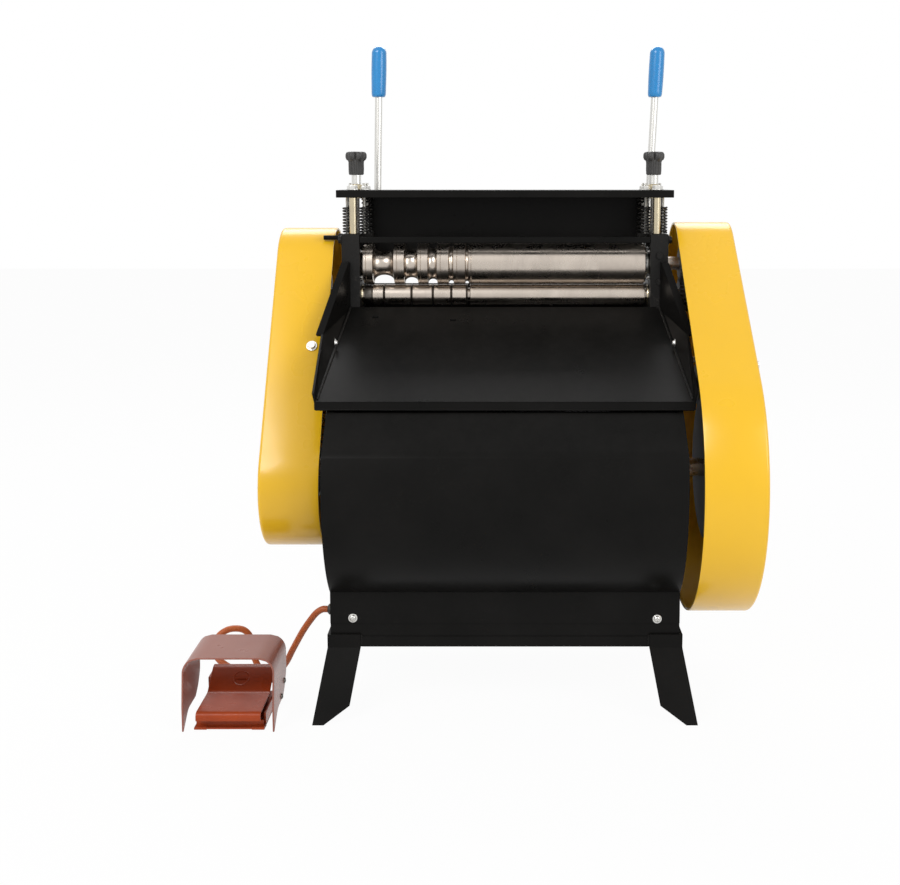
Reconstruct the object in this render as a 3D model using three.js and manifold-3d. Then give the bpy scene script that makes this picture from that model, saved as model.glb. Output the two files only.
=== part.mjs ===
// Wire stripping machine: a welded stand, a drum-shaped body, a pair of stripping rollers under a
// height adjuster, two drive guards and a foot switch on its own cable.
// Millimetres, +Z up, +X to the operator's right, +Y away from the operator.

import * as THREE from 'three';
import * as BufferGeometryUtils from 'three/addons/utils/BufferGeometryUtils.js';
import Module from 'manifold-3d';

const wasm = await Module();
wasm.setup();

// Driving dimensions
const fitGap = 0.3; // between touching pieces
const runGap = 1; // round turning pieces
const cutOverrun = 2; // how far a cutter runs past what it cuts
const sheet = 1.5; // thin sheet metal
const bodyHalfWidth = 255;
const sidePlateThickness = 8;
const drumRadius = 200;
const drumAxisHeight = 336;
const rollerAxisY = 140; // behind the drum's axis
const lowerRollerHeight = 590;
const feedRadius = 17; // lower roller
const bladeRollerRadius = 32.5; // upper roller
const rollerNip = 1.5; // between the two rollers
const upperRollerHeight = lowerRollerHeight + feedRadius + rollerNip + bladeRollerRadius;
const shaftRadius = 11;
const guardWidth = 90;
const guardGap = 20; // from the body to a guard
const guardTopRadius = 74;
const guardInner = bodyHalfWidth + guardGap;
const guardOuter = guardInner + guardWidth;

// Finishes
const finishes = {
  blackPaint: { color: 0x111111, roughness: 0.35, metalness: 0.3 },
  yellowPaint: { color: 0xf2c40f, roughness: 0.4, metalness: 0.1 },
  steel: { color: 0x9a9288, roughness: 0.3, metalness: 1 },
  zinc: { color: 0xc9c4b4, roughness: 0.35, metalness: 1 },
  blackPlastic: { color: 0x1d1d1e, roughness: 0.6, metalness: 0 },
  blueGrip: { color: 0x1577bd, roughness: 0.45, metalness: 0 },
  castIron: { color: 0x4a4a4c, roughness: 0.7, metalness: 0.8 },
  rubber: { color: 0x151515, roughness: 0.85, metalness: 0 },
  orangePaint: { color: 0xa8452a, roughness: 0.4, metalness: 0.3 },
  orangeCable: { color: 0xc2622f, roughness: 0.6, metalness: 0 },
};

const machine = new THREE.Group();
const footSwitch = new THREE.Group();
machine.add(footSwitch);

function addPiece(name, geometry, finish, owner = machine) {
  const material = new THREE.MeshStandardMaterial(finishes[finish]);
  const mesh = new THREE.Mesh(geometry, material);
  mesh.name = name;
  owner.add(mesh);
  return mesh;
}

// Solid shapes
function bare(geometry) {
  const copy = geometry.index ? geometry.clone() : geometry;
  copy.deleteAttribute('normal');
  copy.deleteAttribute('uv');
  return BufferGeometryUtils.mergeVertices(copy, 1e-4);
}

function toSolid(geometry) {
  const merged = bare(geometry);
  return new wasm.Manifold(new wasm.Mesh({
    numProp: 3,
    vertProperties: new Float32Array(merged.attributes.position.array),
    triVerts: new Uint32Array(merged.index.array),
  }));
}

function toGeometry(solid) {
  const mesh = solid.getMesh();
  const geometry = new THREE.BufferGeometry();
  geometry.setAttribute('position', new THREE.BufferAttribute(mesh.vertProperties, 3));
  geometry.setIndex(new THREE.BufferAttribute(mesh.triVerts, 1));
  geometry.computeVertexNormals();
  return geometry;
}

function cut(geometry, ...cutters) {
  let solid = toSolid(geometry);
  for (const cutter of cutters) solid = solid.subtract(toSolid(cutter));
  return toGeometry(solid);
}

function join(...geometries) {
  let solid = toSolid(geometries[0]);
  for (const other of geometries.slice(1)) solid = solid.add(toSolid(other));
  return toGeometry(solid);
}

function block(x0, x1, y0, y1, z0, z1) {
  return new THREE.BoxGeometry(x1 - x0, y1 - y0, z1 - z0)
    .translate((x0 + x1) / 2, (y0 + y1) / 2, (z0 + z1) / 2);
}

function rodX(radius, x0, x1, y, z, sides = 24) {
  return new THREE.CylinderGeometry(radius, radius, x1 - x0, sides)
    .rotateZ(-Math.PI / 2).translate((x0 + x1) / 2, y, z);
}

function rodZ(radius, z0, z1, x, y, sides = 24) {
  return new THREE.CylinderGeometry(radius, radius, z1 - z0, sides)
    .rotateX(Math.PI / 2).translate(x, y, (z0 + z1) / 2);
}

// A lathe profile of [radius, x] pairs turned about an axis along X
function turnedX(profile, y, z, sides = 32) {
  const points = profile.map(([radius, x]) => new THREE.Vector2(radius, x));
  const signed = points.reduce((sum, p, i) => {
    const q = points[(i + 1) % points.length];
    return sum + p.x * q.y - q.x * p.y;
  }, 0);
  if (signed < 0) points.reverse();
  if (points[0].x > 0 || points[points.length - 1].x > 0) points.push(points[0].clone());
  return new THREE.LatheGeometry(points, sides).rotateZ(-Math.PI / 2).translate(0, y, z);
}

function ringX(outer, bore, x0, x1, y, z, sides = 32) {
  return turnedX([[bore, x0], [outer, x0], [outer, x1], [bore, x1]], y, z, sides);
}

// An outline in the Y-Z plane carried along X
function plateX(shape, x0, x1, curveSegments = 16) {
  const basis = new THREE.Matrix4().makeBasis(
    new THREE.Vector3(0, 1, 0), new THREE.Vector3(0, 0, 1), new THREE.Vector3(1, 0, 0));
  return new THREE.ExtrudeGeometry(shape, { depth: x1 - x0, bevelEnabled: false, curveSegments })
    .applyMatrix4(basis).translate(x0, 0, 0);
}

function polygon(points) {
  return new THREE.Shape(points.map(([u, v]) => new THREE.Vector2(u, v)));
}

// The outline round two circles, with straight tangents between them
function beltOutline(y1, z1, r1, y2, z2, r2, arcSteps = 20) {
  const lean = Math.atan2(y2 - y1, z2 - z1);
  const spread = Math.asin((r1 - r2) / Math.hypot(y2 - y1, z2 - z1));
  const points = [];
  const arc = (y, z, r, from, to) => {
    for (let i = 0; i <= arcSteps; i += 1) {
      const a = from + (to - from) * (i / arcSteps);
      points.push([y + r * Math.sin(a), z + r * Math.cos(a)]);
    }
  };
  const side = Math.PI / 2;
  arc(y2, z2, r2, lean + side - spread, lean - side + spread);
  arc(y1, z1, r1, lean - side + spread, lean - 3 * side - spread);
  return polygon(points);
}

function bothSides(make) {
  for (const [word, sign] of [['left', -1], ['right', 1]]) make(word, sign);
}

// Orders two distances on the side given by the sign, lowest first
function span(sign, a, b) {
  return sign > 0 ? [a, b] : [-b, -a];
}

// Stand
const angleSize = 50; // rails of angle iron
const angleThickness = 4;
const railBottom = 97;
const railTop = railBottom + angleSize;
const railFrontY = -126;
const railRearY = 170;
const legWidth = 44;
const legSpreadX = 17;
const legSpreadY = 48;
const footFlat = 12;
const footRise = 24;
const flangeBottom = 133; // the drum cover's flange ends here, over the front rail
const legTop = 116.7;

function angleRailX(frontY, inward) {
  const upright = block(-bodyHalfWidth, bodyHalfWidth, ...sorted(frontY, frontY + inward * angleThickness),
    railBottom, railTop);
  const ledge = block(-bodyHalfWidth, bodyHalfWidth, ...sorted(frontY, frontY + inward * angleSize),
    railTop - angleThickness, railTop);
  return join(upright, ledge);
}

function sorted(a, b) {
  return a < b ? [a, b] : [b, a];
}

addPiece('front_rail', angleRailX(railFrontY, 1), 'blackPaint');
addPiece('rear_rail', angleRailX(railRearY, -1), 'blackPaint');

bothSides((word, sign) => {
  const rail = join(
    block(...span(sign, bodyHalfWidth - angleThickness, bodyHalfWidth),
      railFrontY + angleSize + fitGap, railRearY - angleSize - fitGap, railBottom, railTop),
    block(...span(sign, bodyHalfWidth - angleSize, bodyHalfWidth),
      railFrontY + angleSize + fitGap, railRearY - angleSize - fitGap, railTop - angleThickness, railTop));
  addPiece(`${word}_rail`, rail, 'blackPaint');
  for (const [end, cornerY, back] of [['front', railFrontY, 1], ['rear', railRearY, -1]]) {
    // The leg's corner lies against the rail's outer corner and splays out to its foot
    const cornerX = sign * bodyHalfWidth;
    const faceY = cornerY - back * (angleThickness + fitGap);
    const flange = block(...sorted(cornerX, cornerX - sign * legWidth),
      ...sorted(faceY, faceY + back * angleThickness), 0, legTop);
    const wing = block(...sorted(cornerX + sign * fitGap, cornerX + sign * (fitGap + angleThickness)),
      ...sorted(faceY, faceY + back * legWidth), 0, legTop);
    const bridge = block(...sorted(cornerX - sign * angleThickness,
      cornerX + sign * (fitGap + angleThickness)), ...sorted(faceY, faceY + back * angleThickness), 0, legTop);
    const wedge = new THREE.BoxGeometry(legWidth * 2, legWidth, footRise)
      .translate(-sign * legWidth, 0, -footRise / 2)
      .rotateY(sign * Math.atan2(footRise, legWidth - footFlat))
      .translate(cornerX - sign * footFlat, faceY + back * (angleThickness / 2 - legWidth / 2
        + angleThickness), 0);
    const leg = cut(join(flange, bridge, wing), wedge);
    const slopeX = sign * legSpreadX / railBottom;
    const slopeY = back * legSpreadY / railBottom;
    // Below the rail the leg leans; beside it the leg stands upright
    const bend = (geometry) => {
      const positions = geometry.attributes.position;
      for (let i = 0; i < positions.count; i += 1) {
        const drop = Math.max(0, railBottom - positions.getZ(i));
        positions.setX(i, positions.getX(i) + slopeX * drop);
        positions.setY(i, positions.getY(i) - slopeY * drop);
      }
      return geometry;
    };
    const atBend = block(cornerX - legWidth * 2, cornerX + legWidth * 2, faceY - legWidth * 2,
      faceY + legWidth * 2, railBottom, legTop + cutOverrun);
    const upper = toSolid(leg).intersect(toSolid(atBend));
    const lower = toSolid(leg).subtract(toSolid(atBend));
    const bentLower = toSolid(bend(toGeometry(lower)));
    addPiece(`${end}_${word}_leg`, toGeometry(upper.add(bentLower)), 'blackPaint');
  }
});

// Body: two side plates and the sheets round them
const tangentTop = 560; // where the side plates run up into the head
const headFrontY = 97;
const headRearY = 190;
const plateRadius = drumRadius - fitGap;
const plateInner = bodyHalfWidth - sidePlateThickness;
const rearCoverTop = 604.5; // up to the gap between the rollers
const trayRearHeight = 574;
const trayFrontHeight = 462;
const trayFrontY = -134;
const counterRadius = 14; // countershaft
const motorAxisY = 84;
const motorAxisHeight = 452;
const motorShaftRadius = 12;

const shoulderHeight = 395; // the round front ends here
const shoulderTopY = -131;
const shoulderTopHeight = 446;
const trayClearance = 8; // from the side plates to the tray's underside

function sidePlateShape() {
  const shape = new THREE.Shape();
  const bottom = railTop + fitGap;
  const bottomY = Math.sqrt(plateRadius ** 2 - (drumAxisHeight - bottom) ** 2);
  const lowAngle = Math.asin((drumAxisHeight - bottom) / plateRadius);
  const shoulderAngle = Math.asin((shoulderHeight - drumAxisHeight) / plateRadius);
  shape.moveTo(bottomY, bottom);
  shape.lineTo(-bottomY, bottom);
  shape.absarc(0, drumAxisHeight, plateRadius, Math.PI + lowAngle, Math.PI - shoulderAngle, true);
  shape.lineTo(shoulderTopY + fitGap * 2, shoulderTopHeight);
  shape.lineTo(headFrontY, trayRearHeight - trayClearance * 2);
  shape.lineTo(headFrontY, tangentTop);
  shape.lineTo(headRearY, tangentTop);
  shape.lineTo(plateRadius, drumAxisHeight);
  shape.absarc(0, drumAxisHeight, plateRadius, 0, -lowAngle, true);
  return shape;
}

bothSides((word, sign) => {
  const shape = sidePlateShape();
  const [x0, x1] = span(sign, plateInner, bodyHalfWidth);
  const bores = [rodX(counterRadius + fitGap, x0 - cutOverrun, x1 + cutOverrun, 0, drumAxisHeight)];
  if (sign > 0) {
    bores.push(rodX(motorShaftRadius + runGap, x0 - cutOverrun, x1 + cutOverrun, motorAxisY,
      motorAxisHeight));
  }
  addPiece(`${word}_side_plate`, cut(plateX(shape, x0, x1), ...bores), 'blackPaint');
});

const drumTopAngle = THREE.MathUtils.radToDeg(Math.asin((shoulderHeight - drumAxisHeight) / drumRadius));
const drumLowAngle = -51;
function drumSheetShape() {
  const inner = drumRadius;
  const outer = drumRadius + sheet;
  const steps = 28;
  const flangeY = railFrontY - fitGap - sheet;
  const front = [];
  const back = [];
  for (let i = 0; i <= steps; i += 1) {
    const a = THREE.MathUtils.degToRad(drumTopAngle + (drumLowAngle - drumTopAngle) * (i / steps));
    front.push([-outer * Math.cos(a), drumAxisHeight + outer * Math.sin(a)]);
    back.push([-inner * Math.cos(a), drumAxisHeight + inner * Math.sin(a)]);
  }
  const bend = railTop + sheet;
  const outline = [[shoulderTopY - sheet, shoulderTopHeight], ...front, [flangeY, bend],
    [flangeY, flangeBottom], [flangeY + sheet, flangeBottom], [flangeY + sheet, bend], ...back.reverse(),
    [shoulderTopY, shoulderTopHeight]];
  return polygon(outline);
}
addPiece('drum_cover', plateX(drumSheetShape(), -bodyHalfWidth, bodyHalfWidth), 'blackPaint');

// The rear sheet closes the drum's back from the rail to the head
function rearSheetShape() {
  const steps = 18;
  const inner = drumRadius;
  const outer = drumRadius + sheet;
  const inside = [];
  const outside = [];
  const from = -48;
  for (let i = 0; i <= steps; i += 1) {
    const a = THREE.MathUtils.degToRad(from * (1 - i / steps));
    outside.push([outer * Math.cos(a), drumAxisHeight + outer * Math.sin(a)]);
    inside.push([inner * Math.cos(a), drumAxisHeight + inner * Math.sin(a)]);
  }
  const topY = headRearY + fitGap;
  return polygon([...outside, [topY + sheet, rearCoverTop], [topY, rearCoverTop], ...inside.reverse()]);
}
addPiece('rear_cover', plateX(rearSheetShape(), -bodyHalfWidth, bodyHalfWidth), 'blackPaint');

// Head: two posts that hold the bearings, tied together above and below the rollers
const postInner = 232;
const postOuter = 260;
const postTop = 690;
const postRearY = 183;
const bearingHalf = 27;
const bearingInset = 1; // the bearing block is this much narrower than the post on each side
const slotHalf = bearingHalf + fitGap;
const liftRoom = 14;
const slotTop = upperRollerHeight + bearingHalf + liftRoom;
const screwX = 240;
const columnX = 242;
const columnRadius = 6;
const columnY = 108;
const postScrewRadius = 5;
const springX = 226;
const springRadius = 8;
const springY = 166;
const lugThickness = 8;
const lugInner = 216;
const guardSheet = 3;
const shaftGap = 0.3; // running clearance of a shaft in its bearing
const bushWall = 6;

bothSides((word, sign) => {
  const [x0, x1] = span(sign, postInner, postOuter);
  const lug = block(...span(sign, lugInner + fitGap, postInner + fitGap), springY - springRadius * 2,
    postRearY - guardSheet - fitGap, postTop - lugThickness, postTop);
  const body = join(block(x0, x1, headFrontY, postRearY, tangentTop + fitGap, postTop), lug);
  const lowSlot = rodX(shaftRadius + bushWall + fitGap, x0 - cutOverrun, x1 + cutOverrun, rollerAxisY,
    lowerRollerHeight);
  const slot = block(x0 - cutOverrun, x1 + cutOverrun, rollerAxisY - slotHalf, rollerAxisY + slotHalf,
    upperRollerHeight - bearingHalf - fitGap, slotTop);
  const screwHole = rodZ(postScrewRadius + fitGap, slotTop - cutOverrun, postTop + cutOverrun,
    sign * screwX, rollerAxisY);
  addPiece(`${word}_post`, cut(body, lowSlot, slot, screwHole), 'blackPaint');
  addPiece(`lower_${word}_bush`, ringX(shaftRadius + bushWall, shaftRadius + shaftGap, x0, x1, rollerAxisY,
    lowerRollerHeight, 24), 'zinc');
  const [b0, b1] = span(sign, postInner + bearingInset, postOuter - bearingInset);
  addPiece(`upper_${word}_bearing_block`, cut(block(b0, b1, rollerAxisY - bearingHalf,
    rollerAxisY + bearingHalf, upperRollerHeight - bearingHalf, upperRollerHeight + bearingHalf - fitGap),
  rodX(shaftRadius + shaftGap, b0 - cutOverrun, b1 + cutOverrun, rollerAxisY, upperRollerHeight)), 'steel');
});

const tieThickness = 10;
const tieTop = 686;
const tieHeight = 10;
addPiece('front_tie_bar', block(-(postInner - fitGap), postInner - fitGap, headFrontY + fitGap,
  headFrontY + tieThickness, tieTop - tieHeight, tieTop), 'blackPaint');

// Adjuster: top plate on guide columns, screws with star knobs, and return springs
const topPlateBottom = 748;
const topPlateThickness = 12;
const topPlateTop = topPlateBottom + topPlateThickness;
const topPlateHalf = 268;
const topPlateFrontY = 98;
const topPlateRearY = 186;
const screwRadius = 5;
const knobRadius = 12.5;
const knobBottom = 784;
const knobSkirt = 22;
const knobHead = 15;
const knobLobe = 5.5;
const knobLobes = 6;
const springWire = 1.6;
const springTurns = 6;

addPiece('top_plate', cut(block(-topPlateHalf, topPlateHalf, topPlateFrontY, topPlateRearY, topPlateBottom,
  topPlateTop), ...[-1, 1].map((sign) => rodZ(screwRadius + fitGap, topPlateBottom - cutOverrun,
  topPlateTop + cutOverrun, sign * screwX, rollerAxisY))), 'blackPaint');

const rearGuardHalf = 227;
const rearGuardBottom = 632;
addPiece('rear_guard', block(-rearGuardHalf, rearGuardHalf, postRearY - guardSheet, postRearY,
  rearGuardBottom, topPlateBottom - fitGap), 'blackPaint');

// A coil of round wire from its formula, closed at both ends
function coilZ(radius, wire, turns, z0, z1, x, y, steps = 8, sides = 5) {
  const positions = [];
  const index = [];
  const count = turns * steps;
  for (let i = 0; i <= count; i += 1) {
    const a = (i / steps) * Math.PI * 2;
    const z = z0 + wire + (z1 - z0 - 2 * wire) * (i / count);
    for (let j = 0; j < sides; j += 1) {
      const b = (j / sides) * Math.PI * 2;
      const r = radius + wire * Math.cos(b);
      positions.push(x + r * Math.cos(a), y + r * Math.sin(a), z + wire * Math.sin(b));
    }
  }
  for (let i = 0; i < count; i += 1) {
    for (let j = 0; j < sides; j += 1) {
      const p = i * sides + j;
      const q = i * sides + (j + 1) % sides;
      index.push(p, p + sides, q, q, p + sides, q + sides);
    }
  }
  for (let j = 1; j < sides - 1; j += 1) {
    index.push(0, j, j + 1);
    const last = count * sides;
    index.push(last, last + j + 1, last + j);
  }
  const geometry = new THREE.BufferGeometry();
  geometry.setAttribute('position', new THREE.Float32BufferAttribute(positions, 3));
  geometry.setIndex(index);
  geometry.computeVertexNormals();
  return geometry;
}
const springPitch = (topPlateBottom - postTop) / springTurns;
console.log('least gap in a spring', (springPitch - 2 * springWire).toFixed(2));

function knobGeometry(x, y) {
  const skirt = rodZ(knobRadius, knobBottom, knobBottom + knobSkirt, x, y, 20);
  const head = rodZ(knobRadius, knobBottom + knobSkirt - fitGap, knobBottom + knobSkirt + knobHead, x, y, 20);
  const lobes = [];
  for (let i = 0; i < knobLobes; i += 1) {
    const a = (i / knobLobes) * Math.PI * 2;
    lobes.push(rodZ(knobLobe, knobBottom + knobSkirt, knobBottom + knobSkirt + knobHead,
      x + knobRadius * Math.cos(a), y + knobRadius * Math.sin(a), 12));
  }
  return join(skirt, head, ...lobes);
}

bothSides((word, sign) => {
  const x = sign * screwX;
  addPiece(`${word}_guide_column`, rodZ(columnRadius, postTop + fitGap, topPlateBottom - fitGap,
    sign * columnX, columnY, 20), 'zinc');
  const screwLow = upperRollerHeight + bearingHalf;
  addPiece(`${word}_adjusting_screw`, rodZ(screwRadius, screwLow, knobBottom - fitGap, x,
    rollerAxisY, 16), 'zinc');
  addPiece(`${word}_star_knob`, knobGeometry(x, rollerAxisY), 'blackPlastic');
  addPiece(`${word}_return_spring`, coilZ(springRadius, springWire, springTurns, postTop + fitGap,
    topPlateBottom - fitGap, sign * springX, springY), 'castIron');
});

// Upper roller: collars and five round grooves, then a plain length
const rollerLeft = -229;
const rollerRight = 227;
const plainLeft = -56;
// Groove middle, half width and depth
const grooves = [[-196, 17, 14], [-151.5, 11, 10], [-117, 7.5, 7.5], [-87, 4, 5], [-61.5, 2.8, 4]];
const grooveSteps = 5;
const gearWidth = 20;
const gearInset = 8; // from the guard's inner edge
const gearInner = guardInner + gearInset;
const gearTeeth = 24;
const pitchRadius = (upperRollerHeight - lowerRollerHeight) / 2;
const toothHeight = 2;
const rollerShaftEnd = gearInner + gearWidth;

function upperRollerGeometry() {
  const profile = [[0, -postOuter - fitGap], [shaftRadius, -postOuter - fitGap], [shaftRadius, rollerLeft],
    [bladeRollerRadius, rollerLeft]];
  for (const [middle, half, depth] of grooves) {
    for (let i = 0; i <= grooveSteps; i += 1) {
      const a = Math.PI * (i / grooveSteps);
      profile.push([bladeRollerRadius - depth * Math.sin(a), middle - half * Math.cos(a)]);
    }
  }
  profile.push([bladeRollerRadius, plainLeft], [bladeRollerRadius, rollerRight], [shaftRadius, rollerRight],
    [shaftRadius, rollerShaftEnd], [0, rollerShaftEnd]);
  return turnedX(profile, rollerAxisY, upperRollerHeight, 32);
}
addPiece('upper_roller', upperRollerGeometry(), 'steel');

// Lower roller: a shaft, blade discs between spacers, and a plain feed sleeve
const bladeThickness = 2;
const bladeStand = 1.2; // how far a blade stands over its spacers
const sleeveLeft = -57;
const sprocketInset = 12;
const sprocketInner = guardInner + sprocketInset;
const sprocketWidth = 8;
const lowerShaftLeft = -(sprocketInner + sprocketWidth);
addPiece('lower_shaft', rodX(shaftRadius, lowerShaftLeft, rollerShaftEnd, rollerAxisY,
  lowerRollerHeight), 'steel');
addPiece('feed_sleeve', ringX(feedRadius, shaftRadius + fitGap, sleeveLeft, rollerRight, rollerAxisY,
  lowerRollerHeight, 36), 'steel');
// Blade discs stand a little over the spacers between them, all clamped as one stack
const collarLeft = -215;
function cutterStackGeometry() {
  const bore = shaftRadius + fitGap;
  const profile = [[bore, collarLeft], [feedRadius - bladeStand, collarLeft]];
  for (const [middle] of grooves) {
    const [from, to] = [middle - bladeThickness / 2, middle + bladeThickness / 2];
    const before = middle === grooves[0][0] ? feedRadius - bladeStand : feedRadius;
    profile.push([before, from - fitGap], [feedRadius + bladeStand, from], [feedRadius + bladeStand, to],
      [feedRadius, to + fitGap]);
  }
  profile.push([feedRadius, sleeveLeft - fitGap], [bore, sleeveLeft - fitGap]);
  return turnedX(profile, rollerAxisY, lowerRollerHeight, 36);
}
addPiece('cutter_stack', cutterStackGeometry(), 'steel');

// Toothed wheels
function toothedShape(rootRadius, tipRadius, teeth, phase) {
  const points = [];
  for (let i = 0; i < teeth; i += 1) {
    for (const [share, radius] of [[0, rootRadius], [0.28, rootRadius], [0.4, tipRadius], [0.6, tipRadius],
      [0.72, rootRadius]]) {
      const a = ((i + share + phase) / teeth) * Math.PI * 2;
      points.push([radius * Math.cos(a), radius * Math.sin(a)]);
    }
  }
  return polygon(points);
}

function toothedWheel(rootRadius, tipRadius, teeth, phase, x0, x1, y, z, bore) {
  return cut(plateX(toothedShape(rootRadius, tipRadius, teeth, phase), x0, x1).translate(0, y, z),
    rodX(bore, x0 - cutOverrun, x1 + cutOverrun, y, z, 20));
}

for (const [word, height, phase] of [['lower', lowerRollerHeight, 0], ['upper', upperRollerHeight, 0.5]]) {
  addPiece(`${word}_roller_gear`, toothedWheel(pitchRadius - toothHeight - runGap / 2,
    pitchRadius + toothHeight - runGap / 2, gearTeeth, phase, gearInner, gearInner + gearWidth,
    rollerAxisY, height, shaftRadius + fitGap), 'castIron');
}

// Drive: motor, belt to the countershaft, chain to the lower roller
const motorRadius = 60;
const motorShaftDepth = 60;
const motorLeft = 10;
const motorGap = 3;
const motorRight = plateInner - motorGap;
const beltInset = 42;
const beltPlane = guardInner + beltInset;
const pulleyWidth = 22;
const motorPulleyRadius = 32;
const bigPulleyRadius = 110;
const beltHeight = 8;
const beltHalf = 4.8;
const pulleyRim = 3;
const pulleyGrooveDepth = 12;
const countershaftRight = beltPlane + pulleyWidth / 2;
const sprocketRadius = 40; // both chain wheels
const chainThickness = 6;
const sprocketTeeth = 16;

function motorGeometry() {
  const ribs = [];
  const ribCount = 12;
  const ribStand = 6;
  for (let i = 0; i < ribCount; i += 1) {
    const a = (i / ribCount) * Math.PI * 2;
    ribs.push(new THREE.BoxGeometry(motorRight - motorLeft - ribStand * 4, ribStand / 2, ribStand * 2)
      .translate(0, 0, motorRadius).rotateX(a).translate((motorLeft + motorRight) / 2, motorAxisY,
        motorAxisHeight));
  }
  return cut(join(rodX(motorRadius, motorLeft, motorRight, motorAxisY, motorAxisHeight, 32), ...ribs),
    rodX(motorShaftRadius + runGap, motorRight - motorShaftDepth - runGap, motorRight + cutOverrun,
      motorAxisY, motorAxisHeight, 20));
}
addPiece('motor', motorGeometry(), 'castIron');

const motorTie = 20;
const shelfThickness = 6;
const ribReach = 9;
const shelfTop = motorAxisHeight - motorRadius - ribReach - fitGap;
addPiece('motor_shelf', block(-(plateInner - fitGap), plateInner - fitGap, motorAxisY - motorRadius,
  motorAxisY + motorRadius, shelfTop - shelfThickness, shelfTop), 'blackPaint');

addPiece('countershaft', rodX(counterRadius, -(sprocketInner + sprocketWidth + motorTie),
  countershaftRight, 0, drumAxisHeight), 'steel');

function pulley(radius, y, z, bore) {
  const x0 = beltPlane - pulleyWidth / 2;
  const x1 = beltPlane + pulleyWidth / 2;
  const grooveHalf = pulleyWidth / 2 - pulleyRim;
  return turnedX([[bore, x0], [radius, x0], [radius, beltPlane - grooveHalf], [radius - pulleyGrooveDepth,
    beltPlane - grooveHalf / 2], [radius - pulleyGrooveDepth, beltPlane + grooveHalf / 2],
  [radius, beltPlane + grooveHalf], [radius, x1], [bore, x1]], y, z, 40);
}
addPiece('countershaft_pulley', pulley(bigPulleyRadius, 0, drumAxisHeight, counterRadius + fitGap),
  'castIron');
addPiece('motor_pulley', join(pulley(motorPulleyRadius, motorAxisY, motorAxisHeight,
  motorShaftRadius - runGap), rodX(motorShaftRadius, motorRight - motorShaftDepth, countershaftRight,
  motorAxisY, motorAxisHeight, 20)),
'castIron');

// A loop round two wheels, as a band
function loopBand(y1, z1, r1, y2, z2, r2, thickness, x0, x1) {
  const outer = beltOutline(y1, z1, r1 + thickness, y2, z2, r2 + thickness, 16);
  const inner = beltOutline(y1, z1, r1, y2, z2, r2, 16);
  return cut(plateX(outer, x0, x1), plateX(inner, x0 - cutOverrun, x1 + cutOverrun));
}
addPiece('drive_belt', loopBand(0, drumAxisHeight, bigPulleyRadius - fitGap - beltHeight, motorAxisY,
  motorAxisHeight, motorPulleyRadius - fitGap - beltHeight, beltHeight, beltPlane - beltHalf,
  beltPlane + beltHalf), 'rubber');

addPiece('countershaft_sprocket', toothedWheel(sprocketRadius - chainThickness, sprocketRadius - fitGap * 2,
  sprocketTeeth, 0, -(sprocketInner + sprocketWidth), -sprocketInner, 0, drumAxisHeight,
  counterRadius + fitGap), 'castIron');
addPiece('roller_sprocket', toothedWheel(sprocketRadius - chainThickness, sprocketRadius - fitGap * 2,
  sprocketTeeth, 0, -(sprocketInner + sprocketWidth), -sprocketInner, rollerAxisY, lowerRollerHeight,
  shaftRadius + fitGap), 'castIron');
addPiece('drive_chain', loopBand(0, drumAxisHeight, sprocketRadius, rollerAxisY, lowerRollerHeight,
  sprocketRadius, chainThickness, -(sprocketInner + sprocketWidth), -sprocketInner), 'steel');

// Guards: deep covers with an open inner side
// Each outline is two circles: y, z and radius of the lower one, then of the upper one
const rightGuardLow = { y: 0, z: 331, radius: 212 };
const rightGuardTop = { y: 152, z: 634, radius: guardTopRadius };
const leftGuardLow = { y: 5, z: 313, radius: 98 };
const leftGuardTop = { y: 170.5, z: 624, radius: guardTopRadius };
const guardSteps = 24;
const guardStudRadius = 5;
const guardWall = 2;
const rightStud = { y: 20, z: 500 }; // each stud stands on its side plate, clear of the wheels
const leftStud = { y: 185, z: 540 };
const guardBoltHead = 6;
const guardWasherRadius = 9;

function guardGeometry(sign, low, top) {
  const outer = beltOutline(low.y, low.z, low.radius, top.y, top.z, top.radius, guardSteps);
  const inner = beltOutline(low.y, low.z, low.radius - guardWall, top.y, top.z, top.radius - guardWall,
    guardSteps);
  const hollow = span(sign, guardInner - cutOverrun, guardOuter - guardWall);
  return cut(plateX(outer, ...span(sign, guardInner, guardOuter)), plateX(inner, ...hollow));
}

for (const [word, sign, low, top, stud] of [['right', 1, rightGuardLow, rightGuardTop, rightStud],
  ['left', -1, leftGuardLow, leftGuardTop, leftStud]]) {
  const hole = rodX(guardStudRadius + fitGap, ...span(sign, guardOuter - guardWall - cutOverrun, guardOuter
    + cutOverrun), stud.y, stud.z, 16);
  addPiece(`${word}_guard`, cut(guardGeometry(sign, low, top), hole), 'yellowPaint');
  addPiece(`${word}_guard_stud`, join(
    rodX(guardStudRadius, ...span(sign, bodyHalfWidth + fitGap, guardOuter + guardBoltHead / 2), stud.y,
      stud.z, 16),
    rodX(guardWasherRadius, ...span(sign, guardOuter + fitGap, guardOuter + guardBoltHead), stud.y,
      stud.z, 6)), 'zinc');
}

// Feed tray: a sloping sheet with side walls that rise to the posts, widest at its front
const traySheet = 3;
const trayRearHalf = 250;
const trayFrontHalf = 272;
const trayRearY = headFrontY - fitGap;
const trayWallHeight = 12;
const trayLip = 12;
const wingTopHeight = 646;
const wingFrontY = -2;
const wingFrontHeight = 542;
const wingFlange = 8;
const wingSpreadShare = 0.24; // how far the wing's top leans out, as a share of the run from its rear
const wingFrontSpread = 3; // and at the tray's front edge
const wingInset = 12;
const slotLength = 10;
const slotWidth = 6;
const traySlots = [[-205, 70], [-82, 62]];
const trayRun = trayRearY - trayFrontY;
const traySlope = (trayRearHeight - trayFrontHeight) / trayRun;
const trayHeightAt = (y) => trayFrontHeight + traySlope * (y - trayFrontY);

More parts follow.
